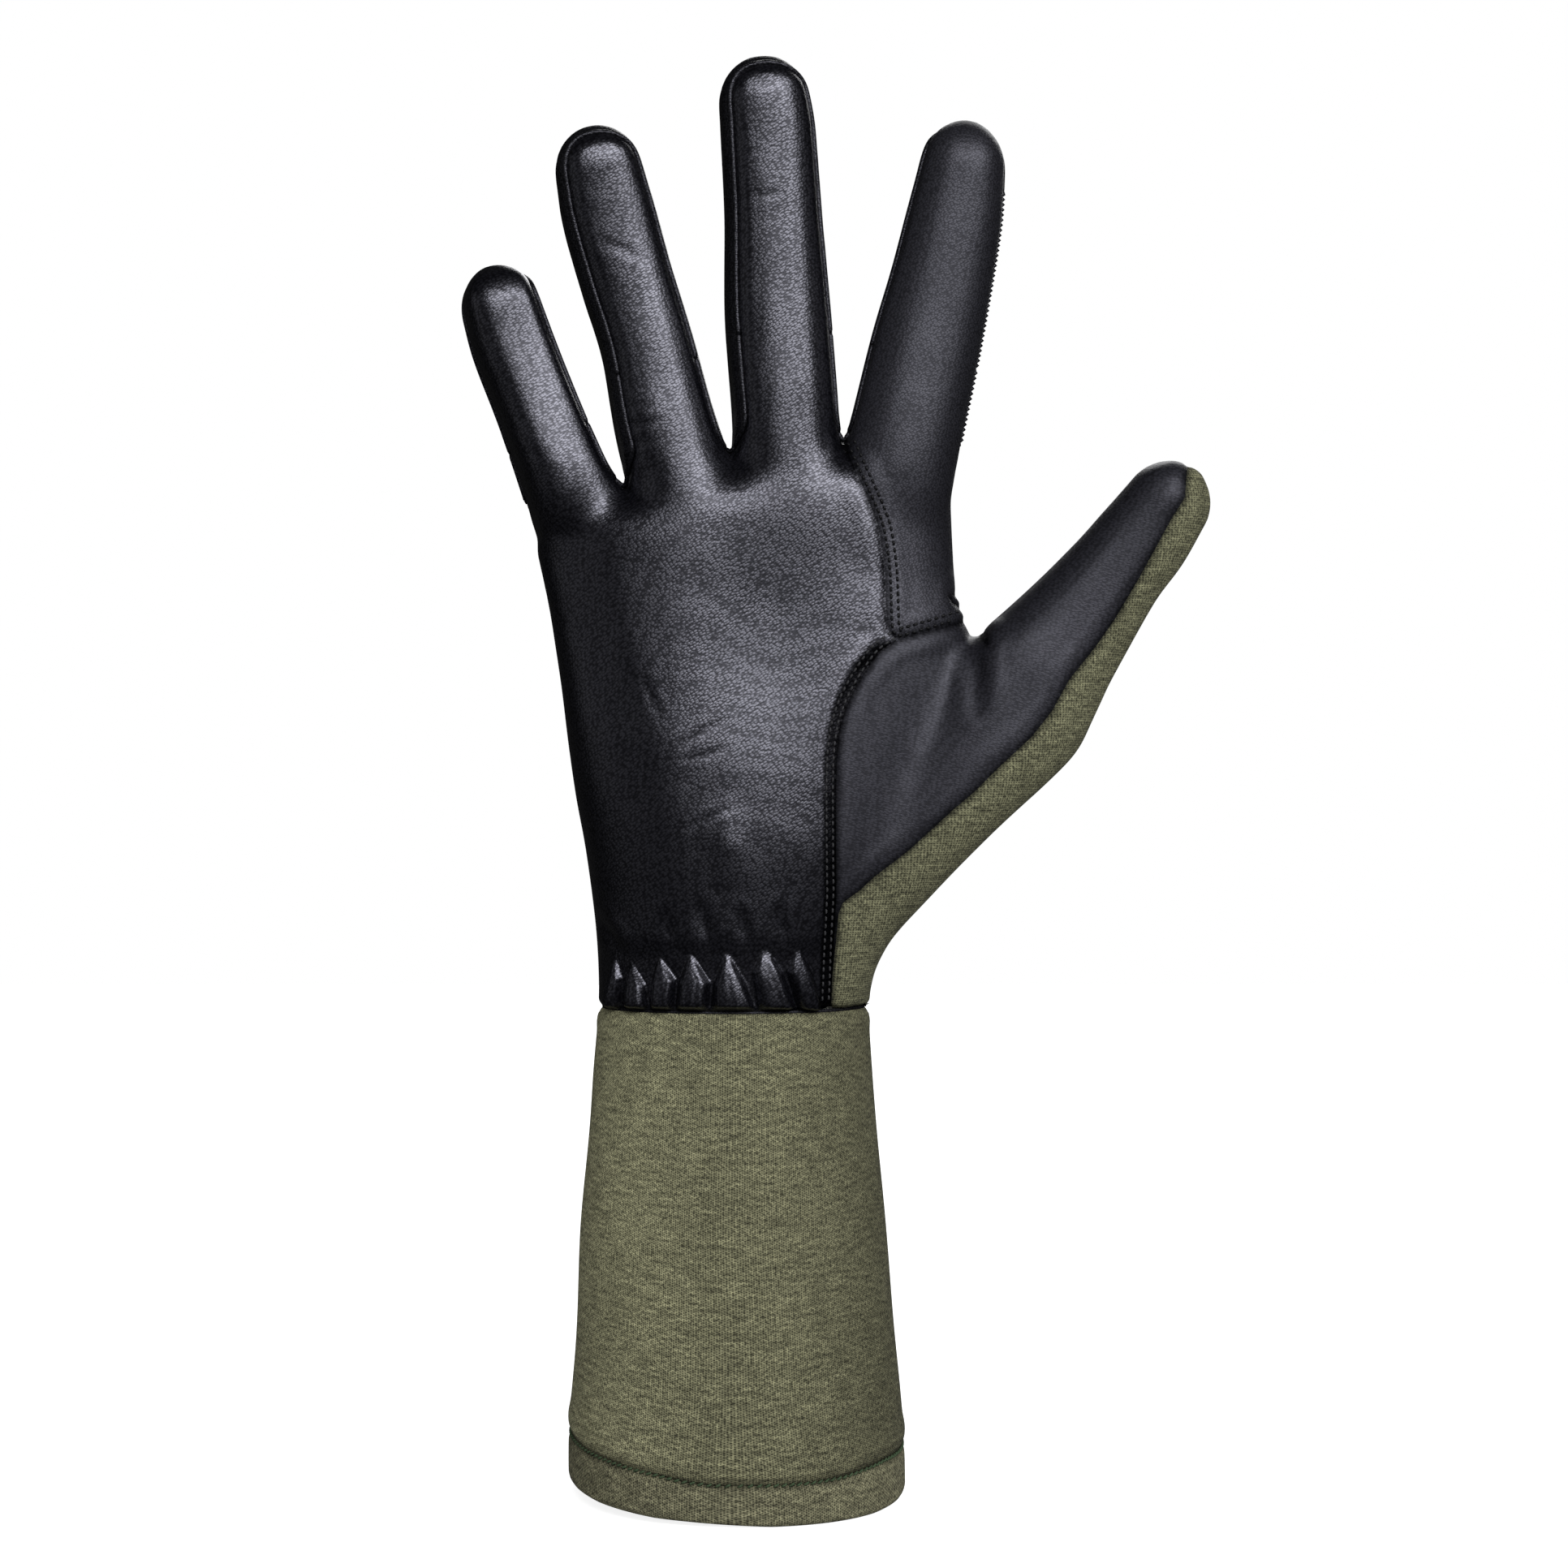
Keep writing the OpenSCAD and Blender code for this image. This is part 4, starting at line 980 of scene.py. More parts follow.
def cloth_places(at):
    """Where each point of the knit lay on the flat cloth, in metres: across and along."""
    half = np.zeros(len(at.x))
    for number, digit in enumerate(DIGITS.values()):
        half = np.where(at.digit == number, np.interp(at.way, digit["way"] - digit["root_way"], digit["half"]), half)
    side = at.across * half
    drop = np.maximum(10.5 + middle_plane(at) - at.y, 0)
    digit_u = np.sign(side) * np.hypot(side, drop)
    edge = ease((abs(at.x - 3) - 30) / 12)
    hand_u = at.x + np.sign(at.x) * (13 - at.y) * edge
    share = ease((at.rise + 6) / 18)
    centre, high = per_digit("root", at).T
    u = hand_u * (1 - share) + (centre + digit_u) * share
    v = at.z * (1 - share) + (high + at.way) * share
    # The thumb's knit keeps its columns upright and wraps round the outer edge.
    outer = np.interp(at.z, *list(zip(*THUMB_OUTER))[::-1])
    unrolled = np.where(at.y < -3, at.x, 2 * outer - at.x) + 0.6 * at.y
    return np.stack([u, v], 1) * MM, np.stack([unrolled, at.z], 1) * MM


back_cloth, thumb_cloth = cloth_places(at)


def dress(piece, material, shade, cloth=None):
    """Smooth faces and a material. Each corner carries its place at rest and its painted light and shade, such as the
    painted shade beside a seam (1 for none), and each corner of a face its place on the flat cloth."""
    mesh = piece.data
    mesh.polygons.foreach_set("use_smooth", np.ones(len(mesh.polygons), bool))
    rest = np.empty(len(mesh.vertices) * 3, np.float32)
    mesh.vertices.foreach_get("co", rest)
    mesh.attributes.new("rest_place", "FLOAT_VECTOR", "POINT").data.foreach_set("vector", rest)
    mesh.attributes.new("painted_shade_and_light", "FLOAT", "POINT").data.foreach_set("value", shade.astype(np.float32).ravel())
    if cloth is not None:
        mesh.uv_layers.new(name="cloth").data.foreach_set("uv", cloth.astype(np.float32).ravel())
    mesh.materials.append(material)


def make_panel(name, chosen, material, node, slot, cloth=None):
    """A sewn panel of the skin as a closed piece: its outside, its inside, and the cut edge between them."""
    faces = skin_faces[chosen]
    used, local = np.unique(faces, return_inverse=True)
    local = local.reshape(-1, 3)
    count = len(used)
    sides = np.concatenate([local[:, [0, 1]], local[:, [1, 2]], local[:, [2, 0]]])
    key, back = sides @ np.array([count, 1]), sides[:, ::-1] @ np.array([count, 1])
    rim = sides[~np.isin(key, back)]
    corners = np.concatenate([skin_points[used], skin_points[used] - skin_normals[used] * PANEL_THICKNESS * MM])
    walls = np.stack([rim[:, 1], rim[:, 0], rim[:, 0] + count, rim[:, 1] + count], 1)
    piece = new_object(name, corners, local.tolist() + (local[:, ::-1] + count).tolist() + walls.tolist())
    if cloth is not None:
        loops = np.empty(len(piece.data.loops), int)
        piece.data.loops.foreach_get("vertex_index", loops)
        cloth = np.tile(cloth[used], (2, 1))[loops]
    dress(piece, material, np.tile(painted_shade_and_light[used], 2), cloth)
    normals = skin_normals[used]
    piece.data.normals_split_custom_set_from_vertices(np.concatenate([normals, -normals]).tolist())
    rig.slot(piece, slot)
    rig.replaces(piece, *node)
    return piece


def place(flat):
    """A point of the middle plane, in metres."""
    return Vector((flat[0] * MM, 0, flat[1] * MM))


def bend_at_root(piece, name):
    root, rise = DIGITS[name]["root"], DIGITS[name]["rise"]
    start, end = CREASES[name][:2]
    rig.blend(piece, "hand", name + "_lower", place(root + rise * start), place(root + rise * end))


def bend_at_knuckle(piece, name):
    root, lean = DIGITS[name]["root"], DIGITS[name]["lean"]
    start, end = CREASES[name][3:]
    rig.blend(piece, name + "_lower", name + "_upper", place(root + lean * start), place(root + lean * end))


def make_digit(name, side, kind_of_panel, material, slot, cloth=None):
    """The two pieces of one side of a digit, which bend at its root and at its knuckle."""
    mine = (panel == kind_of_panel) & (face_digit == all_digits.index(name))
    kind = {"front": "leather", "back": "knit", "sides": "walls"}[side]
    for step, part, bend in ((1, "lower", bend_at_root), (2, "upper", bend_at_knuckle)):
        piece = make_panel(f"{name}_{part}_{side}", mine & (stage == step), material,
                           [f"{name}_{part}_{kind}"], slot, cloth)
        bend(piece, name)


in_hand = stage == 0
palm_black = leather("palm_grain_leather", base=(0.0018, 0.0018, 0.0030), gloss=0.95, roughness=0.335,
                     cell=(0.8, 0.56, 0.5), turn=-0.6, depth=0.022, contrast=0.68)
index_black = leather("index_matt_leather", base=(0.010, 0.010, 0.013), gloss=0.58, roughness=0.50,
                      cell=(0.6, 0.5, 0.45), turn=-0.5, depth=0.022, contrast=0.5)
thumb_black = leather("thumb_smooth_leather", base=(0.0115, 0.0115, 0.015), gloss=0.40, roughness=0.50,
                      cell=(0.9, 0.9, 0.35), turn=0.2, depth=0.015, contrast=0.35, fine=0.5)
wall_black = leather("side_wall_leather", base=(0.0035, 0.0035, 0.0045), gloss=0.5, roughness=0.42,
                     cell=(0.6, 0.6, 0.45), turn=0.2, depth=0.04, contrast=0.7)
KNIT_HOLE = (0.03, 0.03, 0.018)
olive_knit = knit("back_knit_cloth", yarn=(0.098, 0.097, 0.058), hole=KNIT_HOLE, pitch=(0.68, 0.5), slant=0.0)

for name, kind, material, nodes, slot, cloth in (
        ("palm_panel", PALM, palm_black, ["palm_leather"], "palm_leather", None),
        ("index_palm_panel", INDEX, index_black, ["index_palm_leather"], "index_leather", None),
        ("thumb_mound_panel", THUMB, thumb_black, ["thumb_mound_leather"], "thumb_leather", None),
        ("hand_back_panel", BACK, olive_knit, ["hand_back_knit", "index_back_knit"], "back_knit", back_cloth),
        ("thumb_root_panel", THUMB_BACK, olive_knit, ["thumb_root_knit"], "back_knit", thumb_cloth)):
    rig.ride(make_panel(name, in_hand & (panel == kind), material, nodes, slot, cloth), "hand")
for name, low, high in (("little_ring", -60, -13.5), ("ring_middle", -13.5, 11), ("middle_index", 11, 60)):
    piece = make_panel(name + "_gusset", in_hand & (panel == WALL) & (face_x > low) & (face_x < high), wall_black,
                       ["web_" + name], "side_wall_leather")
    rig.ride(piece, "hand")
for name in ("little", "ring", "middle"):
    make_digit(name, "front", PALM, palm_black, "palm_leather")
make_digit("index", "front", INDEX, index_black, "index_leather")
make_digit("thumb", "front", THUMB, thumb_black, "thumb_leather")
for name in ("little", "ring", "middle", "index"):
    make_digit(name, "back", BACK, olive_knit, "back_knit", back_cloth)
    make_digit(name, "sides", WALL, wall_black, "side_wall_leather")
make_digit("thumb", "back", THUMB_BACK, olive_knit, "back_knit", thumb_cloth)


# ---- Knit gauntlet ----
# A long tube of fine olive knit, cut slightly tapered and sewn to the hand at the wrist. It widens evenly
# to the rim and has only soft, shallow waves.
CUFF_ROWS = [           # height, left edge, right edge, half depth
    (-1, -36.7, 37.0, 34.0), (9, -36.9, 36.8, 33.2), (18.4, -36.6, 36.2, 32.3), (39.8, -35.0, 34.2, 30.2),
    (61.2, -34.1, 32.3, 27.2), (82.7, -32.1, 30.6, 24.0), (104.1, -30.5, 29.0, 21.2), (107, -30.4, 29.0, 20.9),
]
# Heights of the rim and of the hem's seam, by place across the cuff.
RIM = [(-37, 4.0), (-34.5, 3.3), (-29.5, 2.5), (-17, 1.4), (-10, 1.1), (0, 0.5), (7.5, 0.1), (30, 0.1), (35, 0.4),
       (37, 1.0)]
HEM_SEAM = [(-37, 13.6), (-32.5, 12.6), (-27.5, 11.8), (-21.4, 10.9), (-16, 10.2), (-11, 9.3), (-5, 8.7), (10, 8.6),
            (16, 8.7), (23, 9.1), (28, 9.9), (32, 10.5), (37, 10.4)]
CUFF_WAVES = ((0.22, 3, 19, 0), (0.16, 5, -13, 1), (0.08, 8, 7, 0))     # height, times round, slant, start
CUFF_AROUND = 288
CUFF_THICKNESS = 1.1
cuff_curve = through(CUFF_ROWS, 12)


def rim_height(x):
    return np.interp(x, *zip(*RIM))


def hem_line(x):
    return np.interp(x, *zip(*HEM_SEAM))


def cuff_point(turn, z, inward):
    """A point of the gauntlet's wall: turn goes once round from 0 to 1, starting at the back."""
    left, right, deep = (np.interp(z, cuff_curve[:, 0], cuff_curve[:, k]) for k in (1, 2, 3))
    angle = turn * 2 * math.pi + math.pi / 2
    c, s = np.cos(angle), np.sin(angle)
    wave = sum(high * np.sin(angle * around + z / long + start) for high, around, long, start in CUFF_WAVES)
    fade = ease((z - 10) / 25) * ease((106 - z) / 18)
    inward = inward - wave * fade
    reach = (right - left) / 2 - inward
    square = 0.86 + 0.09 * ease(z / 30)
    x = (left + right) / 2 + np.sign(c) * abs(c) ** square * reach
    return np.stack([x, np.sign(s) * abs(s) ** square * (deep - inward), z + 0 * x], -1)


def sleeve(name, rings, material, cloth_width, shade=None):
    """A closed tube. The rings of points go down its outside and up its inside, and close again.
    shade is painted light and shade on the cloth at each point: below 1 darker, above 1 lighter, 1 leaves it as it is."""
    rows, around = rings.shape[:2]
    shade = np.ones((rows, around)) if shade is None else shade
    row, step = np.divmod(np.arange(rows * around), around)
    next_row, next_step = (row + 1) % rows, (step + 1) % around
    faces = np.stack([row * around + step, next_row * around + step, next_row * around + next_step,
                      row * around + next_step], 1)
    tube = new_object(name, rings.reshape(-1, 3) * MM, faces.tolist())
    down = way_along(rings[:, 0])
    down = np.append(down, down[-1] + 1)
    u = np.stack([step, step, step + 1, step + 1], 1) / around * cloth_width
    v = -np.stack([down[row], down[row + 1], down[row + 1], down[row]], 1)
    dress(tube, material, shade, np.stack([u, v], 2) * MM)
    return tube


turns = np.arange(CUFF_AROUND) / CUFF_AROUND
start_x = cuff_point(turns, 9.0, 0)[:, 0]
hem_top = hem_line(start_x)
rings = []
for t in np.append(np.arange(0, 1, 0.0085), 1):
    z = WRIST_SEAM + (hem_top - WRIST_SEAM) * t
    dip = 0.9 * bell(WRIST_SEAM - z, 0.9) + 0.7 * bell(z - hem_top, 1.1)
    dip -= 0.35 * bell(z - hem_top - 3.6, 2.2) + 0.2 * bell(WRIST_SEAM - z - 3, 1.5)
    rings.append(cuff_point(turns, z, dip))
for t in np.linspace(1, 0, 24):
    rings.append(cuff_point(turns, WRIST_SEAM + (hem_top - WRIST_SEAM) * t, CUFF_THICKNESS + 0.9))
rings = np.array(rings)
cuff_cloth = knit("gauntlet_knit_cloth", yarn=(0.121, 0.118, 0.070), hole=KNIT_HOLE, pitch=(0.5, 0.5))
# The cloth is darker towards the thumb's side. Painted light makes it lighter towards the other side, as if lit from
# there, and painted shade darkens it in the hem's seam.
x = rings[..., 0]
shade = (1 - 0.36 * ease((x - 6) / 28)) * (1 + 0.5 * ease((-x - 4) / 26))
shade *= 1 - 0.5 * bell(rings[..., 2] - hem_line(x), 1.3)
gauntlet = sleeve("gauntlet_sleeve", rings, cuff_cloth, 208, shade)
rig.slot(gauntlet, "cuff_knit")
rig.replaces(gauntlet, "cuff_knit")
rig.ride(gauntlet, "hand")
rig.sheet(gauntlet, flat=(0.205, 0.100), held="stretched", area=0.0188)


# ---- Folded hem ----
# The knit is turned up inside the rim and stitched with dark green thread, so the edge is thick and round.
HEM_THICKNESS = 2.6
HEM_ROUND = 1.2         # height of its rounded edge
hem_low = rim_height(start_x) + HEM_ROUND
rings = []
for t in np.linspace(0, 1, 14):
    z = hem_top + (hem_low - hem_top) * t
    rings.append(cuff_point(turns, z, 0.7 * bell(hem_top - z, 1.0)))
for turn in np.linspace(0, math.pi, 9)[1:]:
    edge = cuff_point(turns, hem_low, HEM_THICKNESS / 2 * (1 - math.cos(turn)))
    edge[:, 2] -= HEM_ROUND * math.sin(turn)
    rings.append(edge)
for t in np.linspace(1, 0, 8)[1:]:
    rings.append(cuff_point(turns, hem_top + (hem_low - hem_top) * t, HEM_THICKNESS))
rings = np.array(rings)
hem_cloth = knit("hem_knit_cloth", yarn=(0.122, 0.117, 0.072), hole=KNIT_HOLE, pitch=(0.5, 0.5))
# Painted shade darkens the hem along its seam.
shade = 1 - 0.4 * bell(rings[..., 2] - hem_line(rings[..., 0]), 0.9)
hem = sleeve("folded_hem", rings, hem_cloth, 222, shade)
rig.slot(hem, "cuff_hem_knit")
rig.replaces(hem, "cuff_hem")
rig.ride(hem, "hand")
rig.sheet(hem, flat=(0.216, 0.010), held="folded")


# ---- Wrist seam ----
# Leather and knit are sewn together inside out, so at the wrist only a thin rolled edge of black shows.
def sweep(name, lines, radius, material, sides=8):
    """Round cords along lines of points (mm), each with a rounded end; closed lines have no end."""
    corners, faces = [], []
    for line, closed in lines:
        line = np.asarray(line, float)
        ahead = unit(np.roll(line, -1, 0) - np.roll(line, 1, 0) if closed else np.gradient(line, axis=0))
        side = unit(np.cross(ahead, (0.3, 1.0, 0.2)))
        up = np.cross(side, ahead)
        thick = np.full(len(line), radius)
        if not closed:
            thick[[0, -1]] *= 0.5
        base, n = len(corners), len(line)
        for k in range(sides):
            angle = 2 * math.pi * k / sides
            corners += list(line + thick[:, None] * (side * math.cos(angle) + up * math.sin(angle)))
        for k in range(sides):
            for m in range(n if closed else n - 1):
                a, b = base + k * n + m, base + k * n + (m + 1) % n
                c, d = base + (k + 1) % sides * n + (m + 1) % n, base + (k + 1) % sides * n + m
                faces.append((a, b, c, d))
        if not closed:
            faces.append([base + k * n for k in range(sides)])
            faces.append([base + k * n + n - 1 for k in range(sides)][::-1])
    cord = new_object(name, np.array(corners) * MM, faces)
    dress(cord, material, np.ones(len(corners)))
    face_outward(cord.data)
    return cord


wrist_ring = cuff_point(turns, np.full(CUFF_AROUND, WRIST_SEAM), 1.3)
cord_black = leather("seam_cord_leather", base=(0.004, 0.004, 0.005), gloss=0.3, roughness=0.5, cell=(0.6, 0.6, 0.6),
                     turn=0.0, depth=0.03, contrast=0.6)
wrist_cord = sweep("wrist_seam_cord", [(wrist_ring, True)], 0.55, cord_black)
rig.slot(wrist_cord, "side_wall_leather")
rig.replaces(wrist_cord, "wrist_welt")
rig.ride(wrist_cord, "hand")


# ---- Wrist elastic ----
# A band of woven elastic is sewn inside the wrist and draws the leather in. Only the cuff's mouth shows it.
low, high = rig.box("wrist_elastic")
ELASTIC_OUT, ELASTIC_IN = 0.6, 2.0      # its outside and its inside, inward from its box
rings = []
angle = turns * 2 * math.pi
for inward, heights in ((ELASTIC_OUT, (0, 0.1, 0.5, 0.9, 1)), (ELASTIC_IN, (1.0, 0.5, 0.0))):
    for t in heights:
        z = low.z + (high.z - low.z) * t
        rings.append(np.stack([np.cos(angle) * (high.x / MM - inward), np.sin(angle) * (high.y / MM - inward),
                               np.full(CUFF_AROUND, z / MM)], 1))
elastic_cloth = knit("elastic_cloth", yarn=(0.42, 0.42, 0.38), hole=(0.2, 0.2, 0.18), pitch=(0.8, 1.2), slant=0.0)
elastic = sleeve("wrist_elastic_band", np.array(rings), elastic_cloth, 150)
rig.slot(elastic, "wrist_elastic")
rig.replaces(elastic, "wrist_elastic")
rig.ride(elastic, "hand")
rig.sheet(elastic, flat=(0.150, 0.010), held="stretched", area=0.0013)


# ---- Welts ----
# Along the side walls the palm's edge stands out as a sewn welt, which runs up each finger and over its tip.
def runs_of(edges):
    """Edges, as pairs of points, joined into lines that run from end to end."""
    links = {}
    for a, b in edges:
        links.setdefault(a, []).append(b)
        links.setdefault(b, []).append(a)
    ends = sorted(p for p, near in links.items() if len(near) != 2)
    left = {tuple(sorted(edge)) for edge in edges}
    runs = []
    for start in ends + sorted(links):
        for following in links[start]:
            if tuple(sorted((start, following))) not in left:
                continue
            run = [start, following]
            left.discard(tuple(sorted((start, following))))
            while len(links[run[-1]]) == 2:
                step = [p for p in links[run[-1]] if tuple(sorted((run[-1], p))) in left]
                if not step:
                    break
                left.discard(tuple(sorted((run[-1], step[0]))))
                run.append(step[0])
            runs.append(run)
    return runs


WELT_RADIUS, WELT_LIFT, WELT_PITCH, SHORTEST_WELT = 0.62, 0.30, 0.7, 2.5
OVERLOCK_PITCH, OVERLOCK_TOOTH, OVERLOCK_HEIGHTS = 0.55, 0.28, (219, 284)


def welt_line(run, overlocked):
    """A run of the skin's points as an even, smooth line just outside the skin (mm), with the small teeth of
    the overlock stitches on its right side where it has them. Then its length."""
    line = (skin_points[run] + skin_normals[run] * WELT_LIFT * MM) / MM
    for _ in range(6):
        line[1:-1] = line[1:-1] * 0.5 + (line[:-2] + line[2:]) * 0.25
    way = way_along(line)
    pitch = OVERLOCK_PITCH if overlocked else WELT_PITCH
    even = np.linspace(0, way[-1], max(3, int(way[-1] / pitch)))
    line = np.stack([np.interp(even, way, line[:, k]) for k in range(3)], 1)
    for end, inner in ((0, 1), (-1, -2)):       # a little longer, so that the pieces of a welt meet
        line[end] += (line[end] - line[inner]) / np.linalg.norm(line[end] - line[inner]) * 0.4
    if overlocked:
        low, high = OVERLOCK_HEIGHTS
        line = line[(Places(line * MM).across <= 0.55) | (line[:, 2] > low)]
        on_right = (Places(line * MM).across > 0.55) & (line[:, 2] < high)
        line[:, 0] += np.where(on_right, OVERLOCK_TOOTH * (-1.0) ** np.arange(len(line)), 0)
    return line, way[-1]


one, two = panel[face_one], panel[face_two]
welted = (one == WALL) & np.isin(two, [PALM, INDEX]) | (two == WALL) & np.isin(one, [PALM, INDEX])
front_face = np.where(one == WALL, face_two, face_one)
for name, step in [("web", 0)] + [(name, step) for name in ("little", "ring", "middle", "index") for step in (1, 2)]:
    mine = welted & (stage[front_face] == step)
    if step:
        mine &= face_digit[front_face] == all_digits.index(name)
    runs = runs_of([tuple(edge) for edge in edge_points[mine].tolist()])
    lines = [welt_line(run, name == "index") for run in runs]
    lines = [(line, False) for line, length in lines if length > SHORTEST_WELT and len(line) > 3]
    welt = sweep(("web_welts", name + "_lower_welt", name + "_upper_welt")[step], lines, WELT_RADIUS, wall_black)
    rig.slot(welt, "side_wall_leather")
    if step == 0:
        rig.ride(welt, "hand")
    else:
        (bend_at_root if step == 1 else bend_at_knuckle)(welt, name)


# ---- Stitches ----
# Black thread holds the palm's panels with two rows beside each seam, and green thread holds the hem.
def picture(points):
    """Where the camera shows points in metres, in the image points' frame."""
    away = np.asarray(points) - np.array(CAMERA_PLACE)
    span = max(IMAGE_W, IMAGE_H) * CAMERA_LENS / SENSOR_WIDTH
    return np.stack([IMAGE_W / 2 + away[:, 0] / away[:, 1] * span, IMAGE_H / 2 - away[:, 2] / away[:, 1] * span], 1)


def aim_at(x, y):
    """The direction in which the camera sees an image point."""
    span = max(IMAGE_W, IMAGE_H)
    aim = Vector((x - IMAGE_W / 2 + camera.data.shift_x * span, IMAGE_H / 2 - y + camera.data.shift_y * span,
                  -span * CAMERA_LENS / SENSOR_WIDTH))
    aim.rotate(camera.rotation_euler)
    return aim.normalized()


def show_at(tree, x, y):
    """The place on a surface that the camera shows at an image point, and the surface's direction there."""
    aim = aim_at(x, y)
    place, outward, _, _ = tree.ray_cast(camera.location, aim)
    if place is None:
        place, outward, _, _ = tree.find_nearest(camera.location + aim * EYE_AWAY * MM)
    return place, outward


skin_tree = BVHTree.FromPolygons(skin_points.tolist(), skin_faces.tolist())


STITCH_PITCH = 1.6


def offset_row(course, away, first, last):
    """Even places along a line of the middle plane (mm), the given distance to its right, in metres. The row
    starts and ends this far from the line's ends."""
    course = through(course, 6)
    ahead = unit(np.gradient(course, axis=0))
    moved = course + np.stack([ahead[:, 1], -ahead[:, 0]], 1) * away
    way = way_along(moved)
    even = np.arange(first, way[-1] - last, STITCH_PITCH)
    x, z = (np.interp(even, way, moved[:, k]) for k in range(2))
    return np.stack([x, 0 * x, z], 1) * MM


STITCH_PROFILE = [(-1, 0.25), (-0.85, 0.75), (-0.4, 1), (0.4, 1), (0.85, 0.75), (1, 0.25)]    # along, thickness


def stitches(name, places, aheads, outs, length, width, material):
    """One small capsule of thread for each place (mm), lying along its seam."""
    corners, faces = [], []
    sides = 6
    for place, ahead, out in zip(places, aheads, outs):
        side = np.cross(ahead, out)
        side /= np.linalg.norm(side)
        base = len(corners)
        for t, thick in STITCH_PROFILE:
            lift = out * width * (0.30 - 0.45 * t * t)
            for k in range(sides):
                angle = 2 * math.pi * k / sides
                corners.append(place + ahead * t * length / 2 + lift
                               + (side * math.cos(angle) + out * math.sin(angle)) * thick * width / 2)
        for ring in range(len(STITCH_PROFILE) - 1):
            for k in range(sides):
                a, b = base + ring * sides + k, base + ring * sides + (k + 1) % sides
                faces.append((a, b, b + sides, a + sides))
        faces.append([base + k for k in range(sides)][::-1])
        faces.append([base + (len(STITCH_PROFILE) - 1) * sides + k for k in range(sides)])
    row = new_object(name, np.array(corners) * MM, faces)
    row.data.polygons.foreach_set("use_smooth", np.ones(len(faces), bool))
    face_outward(row.data)
    row.data.materials.append(material)
    return row


def thread(name, colour, roughness):
    """Twisted sewing thread."""
    material, tree, paint = new_material(name)
    place = wire(tree, "TexCoord").outputs["Object"]
    twist = wire(tree, "TexNoise", {"Vector": place, "Scale": 3500.0, "Detail": 1.0}).outputs["Fac"]
    shade = spread_of(tree, twist, 0.6, 1.4, 0.3, 0.7)
    feed(paint, {
        "Base Color": wire(tree, "VectorMath", {0: colour, "Scale": shade}, operation="SCALE").outputs[0],
        "Normal": wire(tree, "Bump", {"Height": twist, "Strength": 0.6, "Distance": 0.05 * MM}).outputs[0],
        "Roughness": roughness, "Specular IOR Level": 0.15})
    return material


def front_row(places):
    """Places, directions along and directions outward of a row that the camera sees."""
    found = [show_at(skin_tree, x, y) for x, y in picture(places)]
    places = np.array([f[0][:] for f in found]) / MM
    outs = np.array([f[1][:] for f in found])
    ahead = np.gradient(places, axis=0)
    return places, unit(ahead - outs * (ahead * outs).sum(1)[:, None]), outs


# Two rows beside each seam: the seam, each row's distance to its right, the ends left free, and the stitches.
for name, course, aways, ends, length, width, material in (
        ("index_seam_stitches", INDEX_LINE[INDEX_WEB:INDEX_END + 1], (-0.9, -2.4), (1.5, 7.5), 1.15, 0.6,
         thread("black_thread", (0.005, 0.005, 0.006), 0.5)),
        ("thumb_seam_stitches", THUMB_LINE, (0.75, 2.15), (1.0, 1.0), 1.1, 0.5,
         # The thumb seam's thread is lighter than black, as a painted glint on the stitches.
         thread("worn_black_thread", (0.022, 0.022, 0.024), 0.6))):
    parts = [front_row(offset_row(course, away, *ends)) for away in aways]
    piece = stitches(name, *(np.concatenate(group) for group in zip(*parts)), length, width, material)
    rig.slot(piece, "palm_leather")
    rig.ride(piece, "hand")

green_thread = thread("green_thread", (0.035, 0.055, 0.028), 0.8)
HEM_STITCHES = 142
near = cuff_point((np.arange(HEM_STITCHES) + 0.5) / HEM_STITCHES, np.full(HEM_STITCHES, 8.5), 0.45)
near[:, 2] = hem_line(near[:, 0]) + 0.1
ahead = np.roll(near, -1, 0) - np.roll(near, 1, 0)
ahead[:, 2] += 0.5 * np.linalg.norm(ahead, axis=1)
piece = stitches("hem_stitches", near, unit(ahead), unit(near * (1, 1, 0)), 1.35, 0.5, green_thread)
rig.slot(piece, "cuff_hem_knit")
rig.ride(piece, "hand")


# ---- Image points ----
# How far each named place of the finished glove shows from its image point, in the points' own pixels.
def first_hit(x, y):
    """How far the camera's ray at an image point runs to the glove, or None past it."""
    return all_skins.ray_cast(camera.location, aim_at(x, y))[3]


def shows(point):
    """True where nothing stands between the camera and a point."""
    x, y = picture([point])[0]
    far = first_hit(x, y)
    return far is None or far > np.linalg.norm(point - np.array(CAMERA_PLACE)) - 0.6 * MM


def points_of(pieces):
    return np.concatenate([np.array([v.co[:] for v in piece.data.vertices]) for piece in pieces])


all_pieces = [piece for piece in bpy.data.objects
              if piece.type == "MESH" and piece.name != "floor" and not piece.hide_render]
every_point = points_of(all_pieces)
on_picture = picture(every_point)
every_face, count = [], 0
for piece in all_pieces:
    every_face += [[count + k for k in face.vertices] for face in piece.data.polygons]
    count += len(piece.data.vertices)
all_skins = BVHTree.FromPolygons(every_point.tolist(), every_face)


NOT_FOUND = np.full(2, np.nan)


def extreme(axis, sign, chosen=slice(None)):
    """The outermost place that shows, among the chosen points, as an image point."""
    points, flat = every_point[chosen], on_picture[chosen]
    for k in np.argsort(-sign * flat[:, axis])[:4000]:
        if shows(points[k]):
            return flat[abs(flat[:, axis] - flat[k, axis]) < 0.8].mean(axis=0)
    return NOT_FOUND


TIP_WIDE, TIP_HIGH = 22, 40      # how far from its image point a place is looked for
INDEX_TIP_X = 962


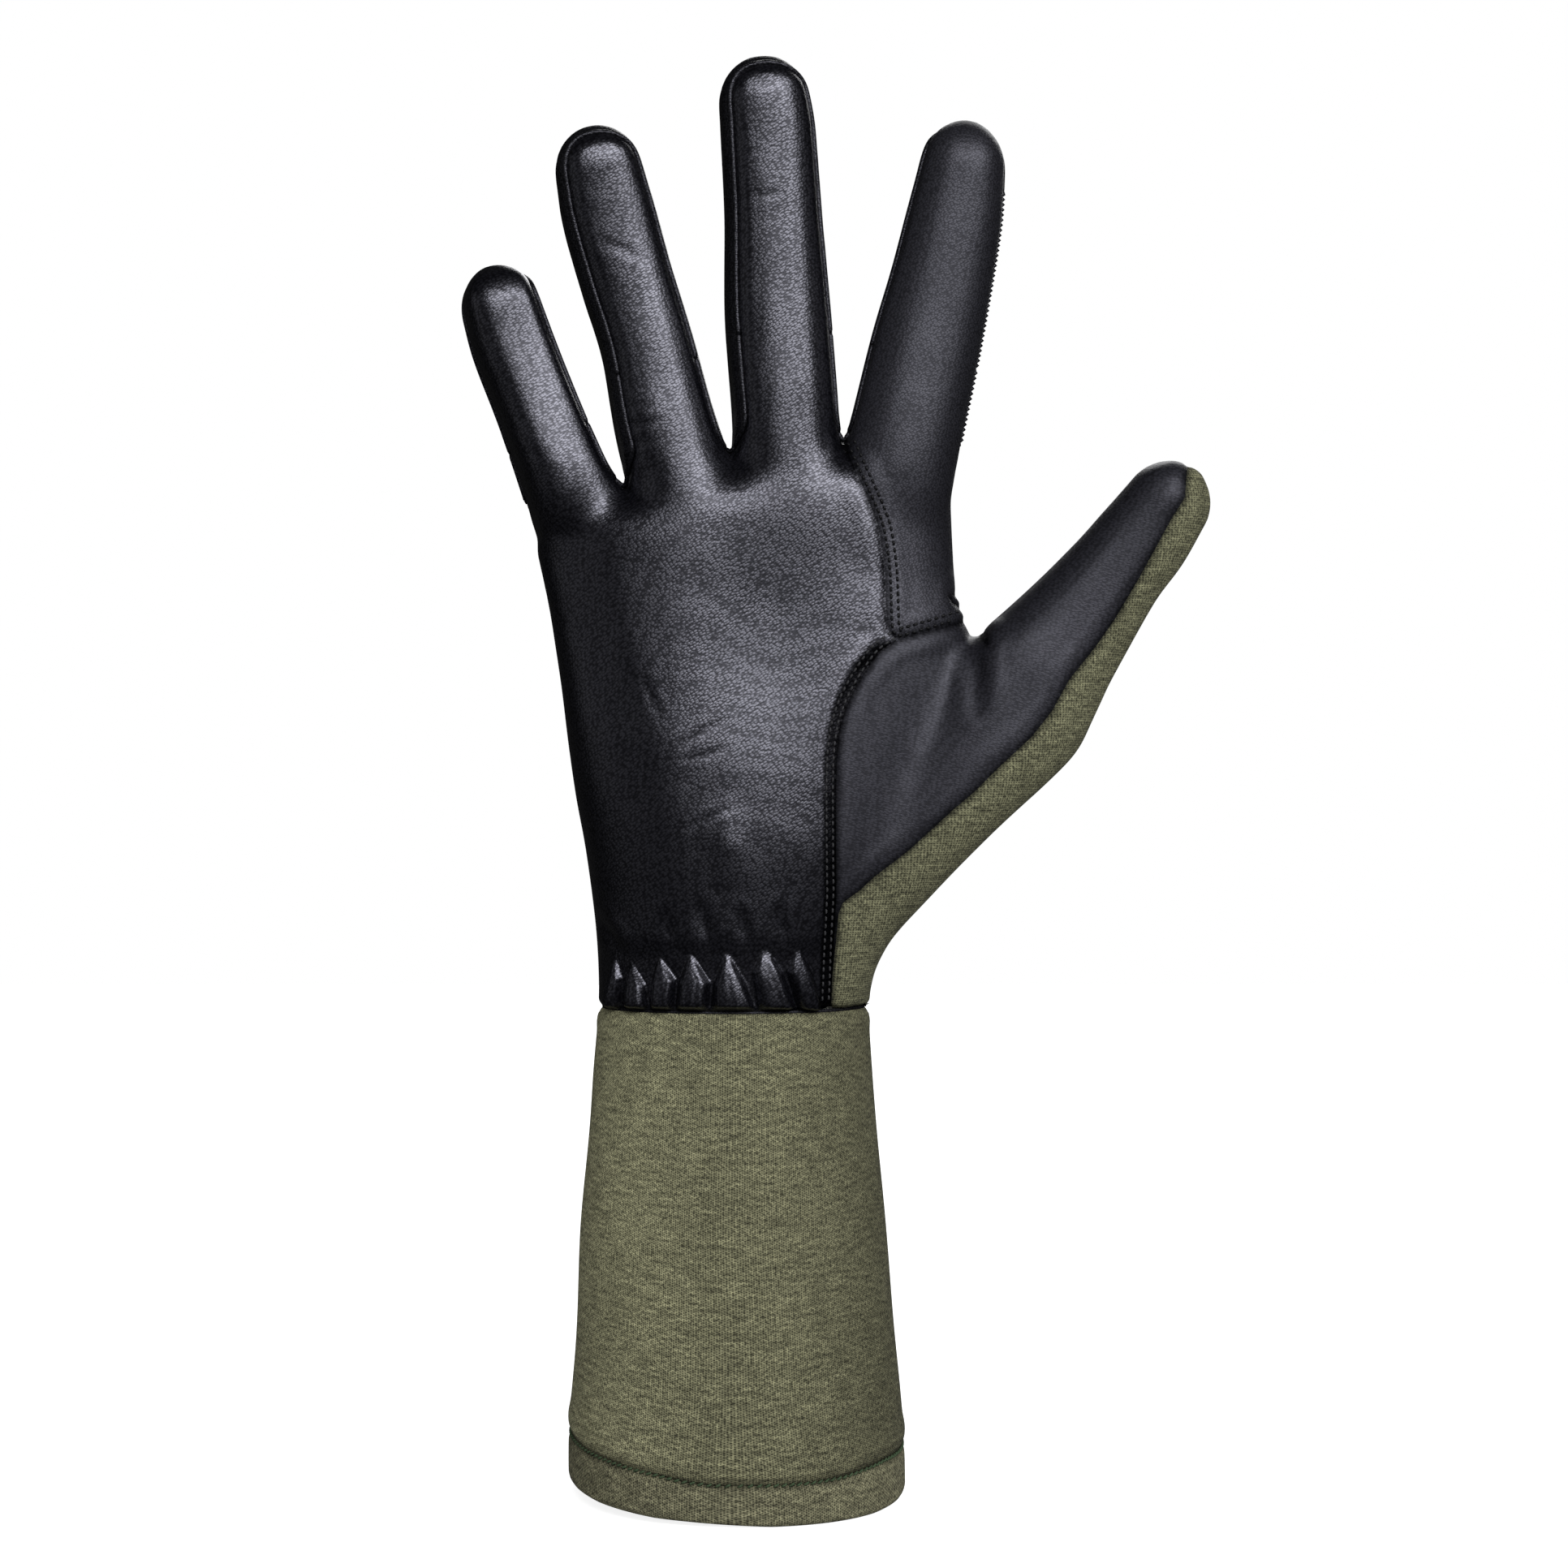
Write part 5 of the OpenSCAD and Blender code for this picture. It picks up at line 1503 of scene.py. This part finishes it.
def gap_end(x0, y0):
    """The lowest place of the open gap between two digits."""
    best = (x0, 0.0)
    for x in np.arange(x0 - 16, x0 + 17, 2):
        y = y0 - TIP_HIGH
        while y < y0 + TIP_HIGH and first_hit(x, y) is None:
            y += 1
        if y > max(best[1], y0 - TIP_HIGH):
            best = (x, y)
    return np.array(best)


def row_at(piece_name, x=None, y=None):
    """Where a row of small parts crosses an upright or a level line of the picture."""
    points = points_of([bpy.data.objects[piece_name]])
    flat = picture(points)
    off = abs(flat[:, 0] - x) if x is not None else abs(flat[:, 1] - y)
    near = [k for k in np.nonzero(off < 6)[0] if shows(points[k])]
    return (flat[near].min(axis=0) + flat[near].max(axis=0)) / 2 if near else NOT_FOUND


found = {"left_edge": extreme(0, -1), "right_edge": extreme(0, 1), "top_edge": extreme(1, -1),
         "bottom_edge": extreme(1, 1)}
for name in ("little_tip", "ring_tip", "index_tip", "thumb_tip"):
    x, y = IMAGE_POINTS[name]
    near = (abs(on_picture[:, 0] - (x or INDEX_TIP_X)) < TIP_WIDE) & (abs(on_picture[:, 1] - y) < TIP_HIGH)
    found[name] = extreme(1, -1, near)
for name in ("web_little_ring", "web_ring_middle", "web_middle_index", "thumb_crotch"):
    found[name] = gap_end(*IMAGE_POINTS[name])
meeting = skin_points[:, 1] < 0
for kind in (PALM, INDEX, THUMB):
    meeting &= np.isin(np.arange(len(skin_points)), skin_faces[(panel == kind) & in_hand])
corners = picture(skin_points[meeting])
off = np.linalg.norm(corners - IMAGE_POINTS["seam_corner"], axis=1)
found["seam_corner"] = corners[np.argmin(off)] if len(corners) else NOT_FOUND
for name in ("wrist_seam_cord", "hem_stitches"):
    found[name] = row_at(name, x=IMAGE_POINTS[name][0])
for name in ("index_seam_stitches", "thumb_seam_stitches"):
    found[name] = row_at(name, y=IMAGE_POINTS[name][1])


def error(place, wanted):
    """Found less wanted on one axis; None where the point has no such axis or was not found."""
    return None if wanted is None or not np.isfinite(place) else round(float(place - wanted), 1)


report = {name: {"x": error(found[name][0], x), "y": error(found[name][1], y)}
          for name, (x, y) in IMAGE_POINTS.items()}
with open("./points.json", "w") as points_file:
    json.dump(report, points_file, indent=1)

with open("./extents.json", "w") as size_file:
    json.dump({"cad": CAD_BOX, "visual": [list(corner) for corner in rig.bounds()]}, size_file)
